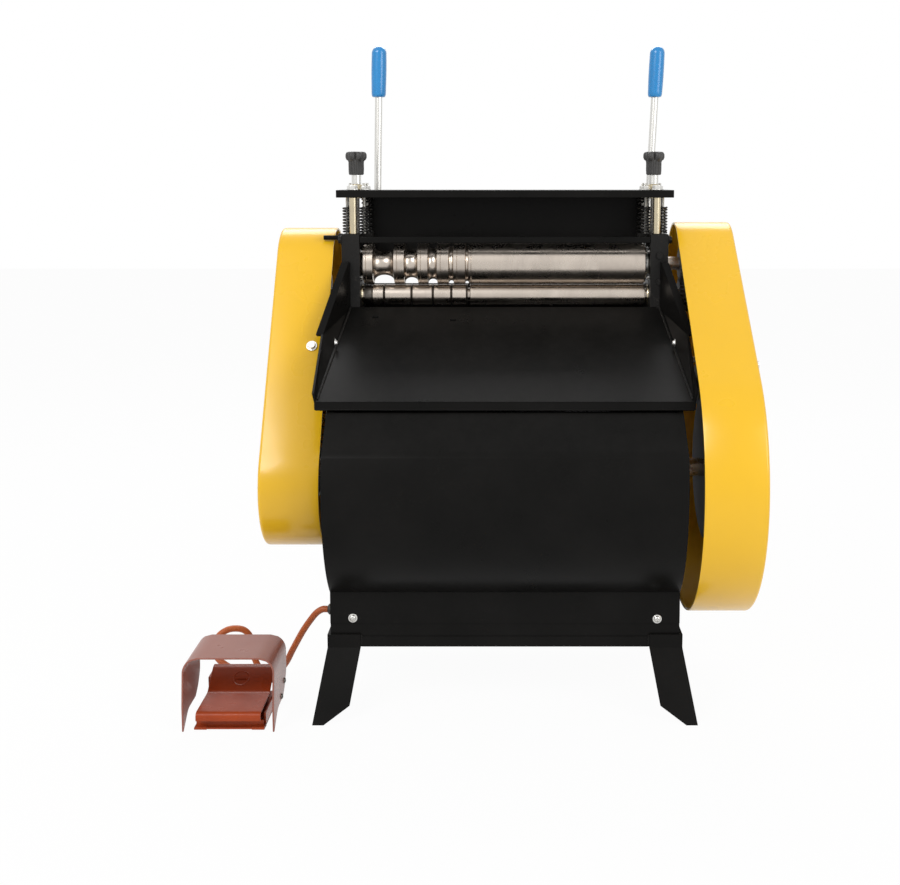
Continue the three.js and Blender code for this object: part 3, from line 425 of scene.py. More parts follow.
@dataclass
class EffectLibrary:
    """Makes each effect's node group once and places it in materials."""

    made: dict[Effect, bpy.types.NodeTree] = field(default_factory=dict)

    def begin(self, effect: Effect, inputs: dict[str, float], outputs: Sequence[str]) -> tuple[Shading, Array]:
        """Starts a group with named number inputs and outputs.

        Args:
            effect: the effect that the group gives.
            inputs: each input's name and usual value.
            outputs: each output's name.

        Returns:
            The tree's helper, and the group's input and output nodes.
        """
        tree = bpy.data.node_groups.new(effect.value, "ShaderNodeTree")
        for name, usual in inputs.items():
            socket = tree.interface.new_socket(name=name, in_out="INPUT", socket_type="NodeSocketFloat")
            socket.default_value = usual
        for name in outputs:
            tree.interface.new_socket(name=name, in_out="OUTPUT", socket_type="NodeSocketFloat")
        shading = Shading(tree)
        ends = np.array([tree.nodes.new("NodeGroupInput"), tree.nodes.new("NodeGroupOutput")], object)
        return shading, ends

    def mottle(self) -> bpy.types.NodeTree:
        """Broad cloudy change in tone, and the fine skin of the surface.

        Returns:
            The group.
        """
        s, (source, result) = self.begin(Effect.MOTTLE, {"Broad": 9.0, "Fine": 500.0}, ("Tone", "Skin"))
        place = s.add("TexCoord").outputs["Object"]
        broad = s.add("TexNoise", Vector=place, Scale=source.outputs["Broad"], Detail=4.0, Roughness=0.6)
        fine = s.add("TexNoise", Vector=place, Scale=source.outputs["Fine"], Detail=2.0, Roughness=0.5)
        s.put(result, "Tone", s.ranged(broad.outputs[0], 0.3, 0.7, 0.0, 1.0))
        s.put(result, "Skin", fine.outputs[0])
        return s.tree

    def turning(self) -> bpy.types.NodeTree:
        """Lines round an axis along x, as a lathe tool leaves them: noise that changes only along x.

        Returns:
            The group.
        """
        s, (source, result) = self.begin(Effect.TURNING, {"Lines": 900.0, "Smears": 30.0}, ("Lines", "Stain"))
        place = s.add("TexCoord").outputs["Object"]
        parts = s.add("SeparateXYZ", Vector=place)
        along = s.mathematics("MULTIPLY", parts.outputs["X"], source.outputs["Lines"])
        line = s.add("TexNoise", {"noise_dimensions": "1D"}, W=along, Scale=1.0, Detail=3.0, Roughness=0.7)
        squeeze = s.add("Mapping", Vector=place, Scale=(1.0, 0.35, 0.35))
        stain = s.add("TexNoise", Vector=squeeze.outputs[0], Scale=source.outputs["Smears"], Detail=5.0,
                      Roughness=0.65, Distortion=0.6)
        s.put(result, "Lines", line.outputs[0])
        s.put(result, "Stain", s.ranged(stain.outputs[0], 0.38, 0.66, 0.0, 1.0))
        return s.tree

    def scuffs(self) -> bpy.types.NodeTree:
        """Scattered rubs and scratches: the thin crossings of stretched noise, in patches.

        Returns:
            The group.
        """
        s, (source, result) = self.begin(Effect.SCUFFS, {"Scale": 40.0, "Amount": 0.5}, ("Scratch", "Rub"))
        place = s.add("TexCoord").outputs["Object"]
        stretch = s.add("Mapping", Vector=place, Rotation=(0.5, 0.4, 0.7), Scale=(1.0, 8.0, 1.0))
        thread = s.add("TexNoise", Vector=stretch.outputs[0], Scale=source.outputs["Scale"], Detail=3.0,
                       Roughness=0.6)
        centred = s.mathematics("ABSOLUTE", s.mathematics("SUBTRACT", thread.outputs[0], 0.5))
        scratch = s.ranged(centred, 0.0, 0.012, 1.0, 0.0)
        zone = s.add("TexNoise", Vector=place, Scale=11.0, Detail=2.0, Roughness=0.5)
        patch = s.ranged(zone.outputs[0], 0.5, 0.72, 0.0, source.outputs["Amount"])
        s.put(result, "Scratch", s.mathematics("MULTIPLY", scratch, patch))
        s.put(result, "Rub", patch)
        return s.tree

    def dust(self) -> bpy.types.NodeTree:
        """Dust that has settled on what faces up: the normal's height times noise.

        Returns:
            The group.
        """
        s, (source, result) = self.begin(Effect.DUST, {"Amount": 0.3}, ("Dust",))
        up = s.add("SeparateXYZ", Vector=s.add("NewGeometry").outputs["Normal"]).outputs["Z"]
        level = s.ranged(up, 0.55, 1.0, 0.0, source.outputs["Amount"])
        grains = s.add("TexNoise", Vector=s.add("TexCoord").outputs["Object"], Scale=70.0, Detail=6.0,
                       Roughness=0.75)
        grain = s.ranged(grains.outputs[0], 0.42, 0.68, 0.0, 1.0)
        s.put(result, "Dust", s.mathematics("MULTIPLY", level, grain))
        return s.tree

    def place(self, shading: Shading, effect: Effect, **values: float) -> bpy.types.Node:
        """Puts an effect's group into a material.

        Args:
            shading: the material's tree.
            effect: which effect.
            **values: the group's inputs in this material.

        Returns:
            The group node.
        """
        if effect not in self.made:
            builder = {Effect.MOTTLE: self.mottle, Effect.TURNING: self.turning, Effect.SCUFFS: self.scuffs,
                       Effect.DUST: self.dust}[effect]
            self.made[effect] = builder()
        node = shading.tree.nodes.new("ShaderNodeGroup")
        node.node_tree = self.made[effect]
        for name, value in values.items():
            node.inputs[name].default_value = value
        return node


EFFECTS = EffectLibrary()


@dataclass(frozen=True)
class Finish:
    """One finish of the machine and how its surface varies."""

    label: str
    slot: str
    colour: Colour
    tint: Colour
    gloss: tuple[float, float]
    metal: float = 0.0
    coat: float = 0.0
    skin: float = 500.0
    relief: float = 0.00004
    broad: float = 9.0
    lines: float = 0.0
    scratch: float = 0.3
    worn: Colour = (0.3, 0.28, 0.26)
    dust: float = 0.15
    sheen: float = 0.0
    shine: float = 0.5

    def material(self) -> bpy.types.Material:
        """The finish's material, made at its first use.

        Returns:
            A material whose colour, roughness and bump come from the shared effects.
        """
        known = bpy.data.materials.get(self.label)
        if known:
            return known
        material = bpy.data.materials.new(self.label)
        material.use_nodes = True
        material.node_tree.nodes.clear()
        s = Shading(material.node_tree)
        mottle = EFFECTS.place(s, Effect.MOTTLE, Broad=self.broad, Fine=self.skin)
        scuffs = EFFECTS.place(s, Effect.SCUFFS, Amount=self.scratch)
        colour = s.blended(mottle.outputs["Tone"], (*self.colour, 1), (*self.tint, 1))
        height = mottle.outputs["Skin"]
        if self.lines:
            turning = EFFECTS.place(s, Effect.TURNING, Lines=self.lines)
            darker = tuple(0.55 * c for c in self.colour)
            colour = s.blended(s.mathematics("MULTIPLY", turning.outputs["Stain"], 0.3), colour, (*darker, 1))
            height = s.mathematics("ADD", height, turning.outputs["Lines"])
        colour = s.blended(scuffs.outputs["Scratch"], colour, (*self.worn, 1))
        dust = EFFECTS.place(s, Effect.DUST, Amount=self.dust)
        colour = s.blended(dust.outputs["Dust"], colour, (0.32, 0.3, 0.28, 1))
        rough = s.ranged(mottle.outputs["Tone"], 0.0, 1.0, *self.gloss)
        rough = s.mathematics("ADD", rough, s.mathematics("MULTIPLY", dust.outputs["Dust"], 0.35))
        bump = s.add("Bump", Strength=1.0, Distance=self.relief, Height=height)
        shader = s.add("BsdfPrincipled", Base_Color=colour, Roughness=rough, Metallic=self.metal,
                       Coat_Weight=self.coat, Coat_Roughness=0.12, Sheen_Weight=self.sheen,
                       Specular_IOR_Level=self.shine,
                       Normal=bump.outputs[0])
        output = s.add("OutputMaterial", Surface=shader.outputs[0])
        output.location = (400, 0)
        material.diffuse_color = (*self.colour, 1)
        return material


BLACK_ENAMEL = Finish("black_enamel", "black_paint", (0.005, 0.0048, 0.0044), (0.008, 0.0075, 0.007),
                      (0.26, 0.36),
                      skin=420.0, relief=0.00004, scratch=0.08, worn=(0.05, 0.045, 0.04), dust=0.01,
                      shine=0.07)
ROUGH_ENAMEL = Finish("hammered_black", "black_paint", (0.007, 0.0066, 0.006), (0.014, 0.013, 0.012),
                      (0.3, 0.48),
                      skin=260.0, relief=0.0004, scratch=0.4, worn=(0.09, 0.08, 0.07), dust=0.08, shine=0.16)
YELLOW_ENAMEL = Finish("yellow_enamel", "yellow_paint", (0.9, 0.52, 0.006), (0.86, 0.49, 0.006), (0.24, 0.36),
                       coat=0.25, skin=380.0, relief=0.00005, broad=5.0, scratch=0.06, worn=(0.7, 0.45, 0.05),
                       dust=0.03)
TURNED_STEEL = Finish("turned_steel", "polished_steel", (0.62, 0.55, 0.48), (0.52, 0.455, 0.395), (0.22, 0.34),
                      metal=1.0, skin=1200.0, relief=0.000008, broad=30.0, lines=1600.0, scratch=0.2,
                      worn=(0.62, 0.58, 0.53), dust=0.03)
DARK_STEEL = Finish("oiled_steel", "polished_steel", (0.16, 0.145, 0.13), (0.1, 0.09, 0.08), (0.26, 0.42),
                    metal=1.0, skin=800.0, relief=0.00005, broad=26.0, scratch=0.5, dust=0.05)
ZINC_PLATE = Finish("bright_zinc", "zinc_plate", (0.72, 0.71, 0.68), (0.64, 0.63, 0.6), (0.28, 0.38),
                    metal=1.0,
                    skin=1400.0, relief=0.000012, broad=24.0, scratch=0.15, worn=(0.8, 0.79, 0.77), dust=0.02)
YELLOW_ZINC = Finish("yellow_zinc", "zinc_plate", (0.6, 0.52, 0.36), (0.48, 0.42, 0.3), (0.2, 0.34), metal=1.0,
                     skin=1400.0, relief=0.00003, broad=60.0, scratch=0.3, worn=(0.75, 0.68, 0.52), dust=0.05)
KNOB_PLASTIC = Finish("knob_plastic", "black_plastic", (0.026, 0.025, 0.024), (0.045, 0.043, 0.041),
                      (0.42, 0.58),
                      skin=900.0, relief=0.00006, broad=90.0, scratch=0.5, worn=(0.14, 0.13, 0.12), dust=0.35)
BLUE_VINYL = Finish("blue_vinyl", "blue_grip", (0.008, 0.25, 0.6), (0.006, 0.215, 0.54), (0.22, 0.34),
                    coat=0.35,
                    skin=300.0, relief=0.00006, broad=40.0, scratch=0.08, worn=(0.1, 0.35, 0.7), dust=0.04)
CAST_IRON = Finish("cast_iron", "cast_iron", (0.06, 0.06, 0.062), (0.1, 0.095, 0.09), (0.4, 0.6), metal=0.85,
                   skin=500.0, relief=0.0003, broad=30.0, scratch=0.5, worn=(0.4, 0.38, 0.36), dust=0.2)
SPRING_STEEL = Finish("black_spring", "cast_iron", (0.02, 0.02, 0.02), (0.035, 0.033, 0.03),
                      (0.26, 0.4), metal=0.6,
                      skin=900.0, relief=0.00003, broad=120.0, scratch=0.4, worn=(0.3, 0.28, 0.26), dust=0.1)
BELT_RUBBER = Finish("belt_rubber", "drive_rubber", (0.016, 0.016, 0.016), (0.03, 0.029, 0.028), (0.6, 0.8),
                     skin=700.0, relief=0.0002, broad=40.0, scratch=0.3, worn=(0.08, 0.08, 0.08), dust=0.3)
ORANGE_ENAMEL = Finish("orange_enamel", "orange_paint", (0.4, 0.062, 0.014), (0.31, 0.046, 0.012),
                       (0.24, 0.36),
                       coat=0.04, skin=340.0, relief=0.00008, broad=22.0, scratch=0.08, worn=(0.5, 0.2, 0.12),
                       dust=0.03, shine=0.18)
# The hood's own paint is the pedal's orange-red. This copy is lighter and pinker because the sheen of the
# white above it is painted into its colour: a painted reflection.
HOOD_ENAMEL_PAINTED_SHEEN = Finish("hood_enamel_painted_sheen", "orange_paint", (0.32, 0.12, 0.088), (0.28, 0.1, 0.074), (0.26, 0.38),
                     coat=0.1, skin=340.0, relief=0.00006, broad=9.0, scratch=0.06, worn=(0.55, 0.32, 0.26),
                     dust=0.03, shine=0.25)
CABLE_SHEATH = Finish("cable_sheath", "orange_cable", (0.5, 0.115, 0.022), (0.42, 0.09, 0.018), (0.42, 0.56),
                      skin=900.0, relief=0.00006, broad=50.0, scratch=0.1, worn=(0.6, 0.3, 0.15), dust=0.06)


# Pieces


def mesh_piece(name: str, patches: Sequence[Patch], body: str, finish: Finish, replaced: Sequence[str] = (),
               crease: float = 35.0) -> bpy.types.Object:
    """Makes one piece of the machine from its grids of points.

    Args:
        name: the piece's name.
        patches: the grids, in the machine's millimetres.
        body: the moving body that it rides on.
        finish: its finish.
        replaced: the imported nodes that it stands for.
        crease: edges sharper than this many degrees stay crisp.

    Returns:
        The object, at the origin, with its place in its mesh.
    """
    points, faces = [], []
    for patch in patches:
        first = sum(len(p) for p in points)
        points.append(patch.points.reshape(-1, 3))
        faces += patch.faces(first)
    mesh = bpy.data.meshes.new(name)
    mesh.from_pydata((np.concatenate(points) * MILLIMETRE + FRAME_SHIFT).tolist(), [], faces)
    work = bmesh.new()
    work.from_mesh(mesh)
    bmesh.ops.remove_doubles(work, verts=work.verts, dist=1e-6)
    bmesh.ops.dissolve_degenerate(work, edges=work.edges, dist=1e-7)
    bmesh.ops.recalc_face_normals(work, faces=work.faces)
    work.to_mesh(mesh)
    work.free()
    mesh.shade_smooth()
    mesh.set_sharp_from_angle(angle=math.radians(crease))
    piece = bpy.data.objects.new(name, mesh)
    bpy.context.scene.collection.objects.link(piece)
    mesh.materials.append(finish.material())
    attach(piece, body)
    if replaced:
        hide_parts(*replaced)
    log.info("%s rides on %s in %s", name, body, finish.label)
    return piece


def round_edges(piece: bpy.types.Object, width: float, segments: int = 2) -> bpy.types.Object:
    """Rounds a piece's sharp edges with a bevel.

    Args:
        piece: the piece.
        width: the rounding's width in millimetres.
        segments: steps across the rounding.

    Returns:
        The same piece.
    """
    bevel = piece.modifiers.new("round_edges", "BEVEL")
    bevel.width = width * MILLIMETRE
    bevel.segments = segments
    bevel.limit_method = "ANGLE"
    bevel.angle_limit = math.radians(40)
    bevel.harden_normals = True
    return piece


def give_wall(piece: bpy.types.Object, thickness: float, even: bool = True) -> bpy.types.Object:
    """Gives a single surface its sheet thickness, inwards from its outside.

    Args:
        piece: the piece.
        thickness: the sheet's thickness in millimetres.
        even: whether the thickness is kept round corners, which throws long spikes at sharp tips.

    Returns:
        The same piece.
    """
    wall = piece.modifiers.new("sheet", "SOLIDIFY")
    wall.thickness = thickness * MILLIMETRE
    wall.offset = -1.0
    wall.use_even_offset = even
    return piece


# Studio and cable


@dataclass
class Studio:
    """The pale floor and backdrop, the lamps and the camera."""

    camera_place: tuple[float, float, float] = (0.043, -1.876373, 0.775)
    camera_tilt: float = 83.3
    lens: float = 49.18
    shift: tuple[float, float] = (-0.0611, -0.1306)
    white: Colour = (0.86, 0.86, 0.86)
    floor_reach: float = 9.0
    sky_strength: float = 0.42
    floor_whiteness: float = 0.96
    lamps: tuple[tuple, ...] = (
        ("key", (-1.5, -2.1, 2.3), (0, 0, 0.45), (1.3, 1.3), 46),
        ("fill", (2.0, -1.7, 1.5), (0, 0, 0.4), (1.4, 1.6), 26),
        ("top", (0.0, 1.7, 2.3), (0, 0, 0.6), (2.2, 1.2), 34))

    def place_camera(self) -> None:
        """Sets the camera where the photograph was taken from."""
        data = bpy.data.cameras.new("camera")
        data.lens = self.lens
        data.sensor_width = 36.0
        data.shift_x, data.shift_y = self.shift
        camera = bpy.data.objects.new("camera", data)
        camera.location = self.camera_place
        camera.rotation_euler = (math.radians(self.camera_tilt), 0.0, 0.0)
        bpy.context.scene.collection.objects.link(camera)
        bpy.context.scene.camera = camera

    def seen_by(self, s: Shading) -> bpy.types.NodeSocket:
        """Adds the mask of rays that see the white background: the camera's, reflections' and transmission's.

        Args:
            s: the tree that the nodes are added to.

        Returns:
            The mask's output.
        """
        path = s.add("LightPath")
        direct = s.mathematics("MAXIMUM", path.outputs["Is Camera Ray"], path.outputs["Is Glossy Ray"])
        return s.mathematics("MAXIMUM", direct, path.outputs["Is Transmission Ray"])

    def white_where_seen(self, strength: float) -> bpy.types.Material:
        """A pale surface that the camera and reflections see as near white and that keeps a soft shadow.

        Args:
            strength: how much of what is seen is plain white.

        Returns:
            The material.
        """
        material = bpy.data.materials.new("studio_white")
        material.use_nodes = True
        material.node_tree.nodes.clear()
        s = Shading(material.node_tree)
        seen = self.seen_by(s)
        diffuse = s.add("BsdfDiffuse", Color=(*self.white, 1))
        glow = s.add("Emission", Color=(1, 1, 1, 1), Strength=1.0)
        mix = s.add("MixShader")
        s.put(mix, 0, s.mathematics("MULTIPLY", seen, strength))
        s.put(mix, 1, diffuse.outputs[0])
        s.put(mix, 2, glow.outputs[0])
        s.add("OutputMaterial", Surface=mix.outputs[0])
        return material

    def lay_floor(self) -> None:
        """A wide flat floor under the machine: a grid of points at height 0."""
        reach = np.linspace(-self.floor_reach, self.floor_reach, 3)
        x, y = np.meshgrid(reach, reach, indexing="ij")
        patch = Patch(np.stack([x, y, 0 * x], -1), ring=False)
        mesh = bpy.data.meshes.new("floor")
        mesh.from_pydata(patch.points.reshape(-1, 3).tolist(), [], [face[::-1] for face in patch.faces(0)])
        floor = bpy.data.objects.new("floor", mesh)
        bpy.context.scene.collection.objects.link(floor)
        mesh.materials.append(self.white_where_seen(self.floor_whiteness))

    def light_world(self) -> None:
        """A soft even sky that is white to the camera and in reflections."""
        world = bpy.data.worlds.new("studio")
        bpy.context.scene.world = world
        world.use_nodes = True
        world.node_tree.nodes.clear()
        s = Shading(world.node_tree)
        strength = s.ranged(self.seen_by(s), 0.0, 1.0, self.sky_strength, 1.0)
        s.add("OutputWorld", Surface=s.add("Background", Color=(1, 1, 1, 1), Strength=strength).outputs[0])

    def add_lamp(self, name: str, place: Sequence[float], aim: Sequence[float], size: tuple[float, float],
                 power: float) -> None:
        """Adds one soft rectangular lamp.

        Args:
            name: the lamp's name.
            place: where it is, in metres.
            aim: what it points at.
            size: its two sides in metres.
            power: its power in watts.
        """
        data = bpy.data.lights.new(name, "AREA")
        data.shape = "RECTANGLE"
        data.size, data.size_y = size
        data.energy = power
        lamp = bpy.data.objects.new(name, data)
        lamp.location = place
        direction = Vector(aim) - Vector(place)
        lamp.rotation_euler = direction.to_track_quat("-Z", "Y").to_euler()
        bpy.context.scene.collection.objects.link(lamp)

    def build(self) -> None:
        """Makes the whole studio."""
        self.place_camera()
        self.lay_floor()
        self.light_world()
        for lamp in self.lamps:
            self.add_lamp(*lamp)
        bpy.context.scene.view_settings.view_transform = "Standard"


@dataclass
class SwitchCable:
    """The orange cable between the machine and its foot switch, with the fitting at each end."""

    diameter: float = 10.0
    length: float = 408.4
    route: tuple[tuple[float, float, float], ...] = (
        (-271.6, -40, 123), (-279, -40, 122.8), (-288, -39, 117.5), (-299.8, -36, 103), (-311, -32.5, 86),
        (-321, -28, 68), (-330.7, -22, 49.4), (-340.4, -14, 29.8), (-351, -6, 15), (-363, 1, 7.5),
        (-376, 6, 6.5),
        (-388, 9, 9.5), (-395, 12, 20), (-399, 13, 35), (-401, 13, 50), (-404, 12, 62), (-412, 10, 71),
        (-424, 7, 74.5), (-436, 2, 74), (-447, -5, 68), (-452.5, -12, 58), (-452, -20, 46.5), (-443, -26, 36),
        (-428, -30, 27), (-411, -34, 20.5), (-401, -42, 18.4), (-398.3, -51, 18), (-398, -61.4, 18))
    gland_reach: float = 16.0
    sleeve_length: float = 24.0

    def centreline(self, steps: int = 12) -> Array:
        """The route as a smooth line: cubic pieces whose speed at each point follows the distances beside it.

        Args:
            steps: points between two of the route's points.

        Returns:
            The points of the line.
        """
        p = np.asarray(self.route, float)
        p = np.concatenate([2 * p[:1] - p[1:2], p, 2 * p[-1:] - p[-2:-1]])
        knot = np.sqrt(np.linalg.norm(np.diff(p, axis=0), axis=1))[:, None]
        before, here, after = knot[:-2], knot[1:-1], knot[2:]
        start, end = p[1:-2], p[2:-1]
        pull = (start - p[:-3]) / before - (end - p[:-3]) / (before + here) + (end - start) / here
        push = (end - start) / here - (p[3:] - start) / (here + after) + (p[3:] - end) / after
        t = (np.arange(steps) / steps)[None, :, None]
        pull, push = (pull * here)[:, None], (push * here)[:, None]
        start, end = start[:, None], end[:, None]
        line = (start + pull * t + (3 * (end - start) - 2 * pull - push) * t ** 2
                + (2 * (start - end) + pull + push) * t ** 3)
        return np.concatenate([line.reshape(-1, 3), p[-2:-1]])

    def build_cable(self) -> bpy.types.Object:
        """The sheath itself, a round tube along the route."""
        line = self.centreline()
        return mesh_piece("switch_cable", [tube(line, self.diameter / 2, 20)], "machine", CABLE_SHEATH,
                          ["foot_switch_cable"])

    def build_gland(self) -> bpy.types.Object:
        """The gland on the side rail: a hexagon body, a ribbed dome nut and a tapered end round the cable."""
        x, y, z = self.route[0]
        root = x + self.gland_reach
        profile = [(-4.5, 0), (-4.5, 9), (-10.5, 9), (-13.5, 8), (-15.6, 5.6), (-15.6, 0)]
        nut = turned([(w, r) for w, r in profile], (root, y, z), Axis.X, 48)
        angle = np.arctan2(nut.points[..., 2] - z, nut.points[..., 1] - y)
        inside = (nut.points[..., 0] < root - 4) & (nut.points[..., 0] > root - 12)
        ripple = 1 - 0.045 * (np.cos(angle * 16) > 0.2) * inside
        nut.points[..., 1] = y + (nut.points[..., 1] - y) * ripple
        nut.points[..., 2] = z + (nut.points[..., 2] - z) * ripple
        return mesh_piece("cable_gland_nut", [hexagon((root, y, z), Axis.X, 15.5, -4.5, -0.4), nut], "machine",
                          KNOB_PLASTIC, ["cable_gland"])

    def build_sleeve(self) -> bpy.types.Object:
        """The tapered strain relief at the switch: rings that grow smaller away from it."""
        line = resampled(self.centreline()[-40:], 61)
        along = np.concatenate([[0], np.cumsum(np.linalg.norm(np.diff(line, axis=0), axis=1))])
        from_end = along[-1] - along
        kept = from_end < self.sleeve_length
        share = from_end[kept] / self.sleeve_length
        radius = 8.2 - 2.4 * share - 0.6 * (np.sin(from_end[kept] * TURN / 4) > 0)
        return mesh_piece("cable_sleeve", [tube(line[kept], radius, 24)], "machine", KNOB_PLASTIC)

    def build(self) -> None:
        """Makes the cable, its sleeve and its gland."""
        cable, sleeve = self.build_cable(), self.build_sleeve()
        gland = self.build_gland()


@dataclass
class FootSwitch:
    """The foot switch: a bent hood open at its front, a sprung pedal, and the base between them."""

    middle: float = -391.5
    half: float = 65.5
    top: float = 105.0
    corner: float = 22.0
    pedal_half: float = 46.0
    sheet: float = 2.6
    screw_places: tuple[tuple[float, float], ...] = ((-118, 42), (-142, 28))
    base_half: float = 50.0
    base_clearance: float = 0.6
    base_plate_top: float = 3.0
    box_half: float = 34.0
    box_top: float = 34.0
    channel_top: float = 12.0
    base_blocks: tuple[tuple[float, ...], ...] = (
        (32, 50, -193.8, -180, 4), (47.2, 50, -180, -96, 20), (47.2, 51.8, -97, -71, 38))
    front_edge: tuple[tuple[float, float], ...] = ((-200, 0), (-200, 35), (-190, 105))
    rear_edge: tuple[tuple[float, float], ...] = ((-129, 22), (-112, 33), (-98, 52.5), (-98, 105))
    low_edge: tuple[tuple[float, float], ...] = ((-200, 0), (-171.5, 22), (-129, 22))

    def build_hood(self) -> None:
        """The hood: each side wall is blended between four edges, and the top bends in a quarter round."""
        count, depth = 30, 22
        w = np.linspace(0, 1, count) ** 0.85
        front = resampled(np.asarray(self.front_edge, float), count)
        rear = resampled(smoothed(self.rear_edge, 8), count)
        low = resampled(smoothed(self.low_edge, 10), depth)
        high = np.stack([np.linspace(front[-1, 0], rear[-1, 0], depth), np.full(depth, self.top)], -1)
        share = np.linspace(0, 1, count)
        front = np.stack([np.interp(w, share, front[:, k]) for k in (0, 1)], -1)
        rear = np.stack([np.interp(w, share, rear[:, k]) for k in (0, 1)], -1)
        u, v = w[:, None, None], np.linspace(0, 1, depth)[None, :, None]
        corners = ((1 - u) * (1 - v) * front[0] + (1 - u) * v * rear[0] + u * (1 - v) * front[-1]
                   + u * v * rear[-1])
        wall = (1 - v) * front[:, None] + v * rear[:, None] + (1 - u) * low[None] + u * high[None] - corners
        y, z = wall[..., 0], wall[..., 1]
        over = np.clip(z - (self.top - self.corner), 0, self.corner)
        across = self.half - self.corner + np.sqrt(np.maximum(self.corner ** 2 - over ** 2, 0))
        right = np.stack([self.middle + across, y, z], -1)
        left = np.stack([self.middle - across, y, z], -1)
        span = np.linspace(-1, 1, 14)[1:-1, None] * (self.half - self.corner)
        crown = self.top + 0.0 * span
        roof = np.stack(np.broadcast_arrays(self.middle + span, high[None, :, 0], crown), -1)
        # The hood wears the lighter, pinker copy of the orange enamel, with the white sheen painted into its
        # colour.
        hood = mesh_piece("switch_hood", [Patch(np.concatenate([left, roof, right[::-1]]), ring=False)],
                          "machine", HOOD_ENAMEL_PAINTED_SHEEN, ["foot_switch_hood"], crease=60)
        self.face_outwards(hood)
        round_edges(give_wall(hood, self.sheet, even=False), 0.7)

    def face_outwards(self, piece: bpy.types.Object) -> None:
        """Turns an open sheet's faces away from the switch's middle.

        Args:
            piece: the sheet.
        """
        work = bmesh.new()
        work.from_mesh(piece.data)
        centre = Vector(np.array([self.middle, -140, 40]) * MILLIMETRE + FRAME_SHIFT)
        facing = sum((face.calc_center_median() - centre).dot(face.normal) * face.calc_area()
                     for face in work.faces)
        if facing < 0:
            bmesh.ops.reverse_faces(work, faces=work.faces)
        work.to_mesh(piece.data)
        work.free()

    def build_pedal(self) -> None:
        """The pedal: one bent sheet with a folded front lip and a rounded plug in its rise."""
        line = smoothed([(-198.0, 17.2), (-198.0, 27.0), (-128.0, 27.0), (-88.5, 51.5), (-78.5, 51.5),
                         (-78.5, 33)], 4.5)
        fold = resampled(line, 90)
        side = np.linspace(-self.pedal_half, self.pedal_half, 26)
        points = np.stack(np.broadcast_arrays(self.middle + side[None], fold[:, 0:1], fold[:, 1:2] - 1.3), -1)
        pedal = mesh_piece("pedal_plate", [Patch(points, ring=False)], "pedal", ORANGE_ENAMEL,
                           ["foot_pedal"], 50)
        self.face_outwards(pedal)
        round_edges(give_wall(pedal, 2.2, even=False), 0.6)
        profile = [(-2.4, 0), (-2.4, 13), (0.6, 13), (1.4, 12), (0.7, 10.4), (0.7, 0)]
        plug = turned(profile, (0, 0, 0), Axis.Z, 40)
        bar = slab((-8.5, -1.6, 0.2), (8.5, 1.6, 1.9))
        face = np.array([[1, 0, 0], [0, 0.85, 0.527], [0, -0.527, 0.85]])
        for patch in (plug, bar):
            patch.points = patch.points @ face + np.array([self.middle, -107, 40.3])
        mesh_piece("pedal_plug", [plug, bar], "pedal", ORANGE_ENAMEL)
        hinge = [turned([(w0, 0), (w0, 5.6), (w1, 5.6), (w1, 0)], (self.middle, -84, 30), Axis.X, 24)
                 for w0, w1 in ((-self.pedal_half, -31), (31, self.pedal_half))]
        links = [slab((self.middle + a, -88, 30), (self.middle + b, -80, 49))
                 for a, b in ((-45, -36), (36, 45))]
        mesh_piece("pedal_hinge", hinge + links, "pedal", ORANGE_ENAMEL)

    def build_fixings(self) -> None:
        """Two dark screws through the hood's right wall."""
        screws = [pan_head((self.middle + self.half + 0.2, y, z), Axis.X, 4.2, 2.2)
                  for y, z in self.screw_places]
        mesh_piece("hood_screws", screws, "machine", DARK_STEEL)

    def build_base(self) -> None:
        """The base: a floor plate, a low channel, two feet, cheeks, the hinge's ears and the switch's box."""
        m, plate_top = self.middle, self.base_plate_top
        blocks = [slab((m - self.base_half, -193, 1.0), (m + self.base_half, -64, 3.2)),
                  slab((m - self.box_half, -76, plate_top), (m + self.box_half, -62.4, self.box_top)),
                  slab((m - 48, -187, plate_top), (m + 48, -184.6, self.channel_top))]
        for s in (-1, 1):
            for near, far, front, rear, top in self.base_blocks:
                low, high = sorted((s * near, s * far))
                blocks.append(slab((m + low, front, self.base_clearance), (m + high, rear, top)))
        round_edges(mesh_piece("switch_base", blocks, "machine", ORANGE_ENAMEL, ["foot_switch_base"]), 0.4)

    def build(self) -> None:
        """Makes the foot switch's pieces."""
        self.build_hood()
        self.build_pedal()
        self.build_base()
        self.build_fixings()


# Body, guards and tray


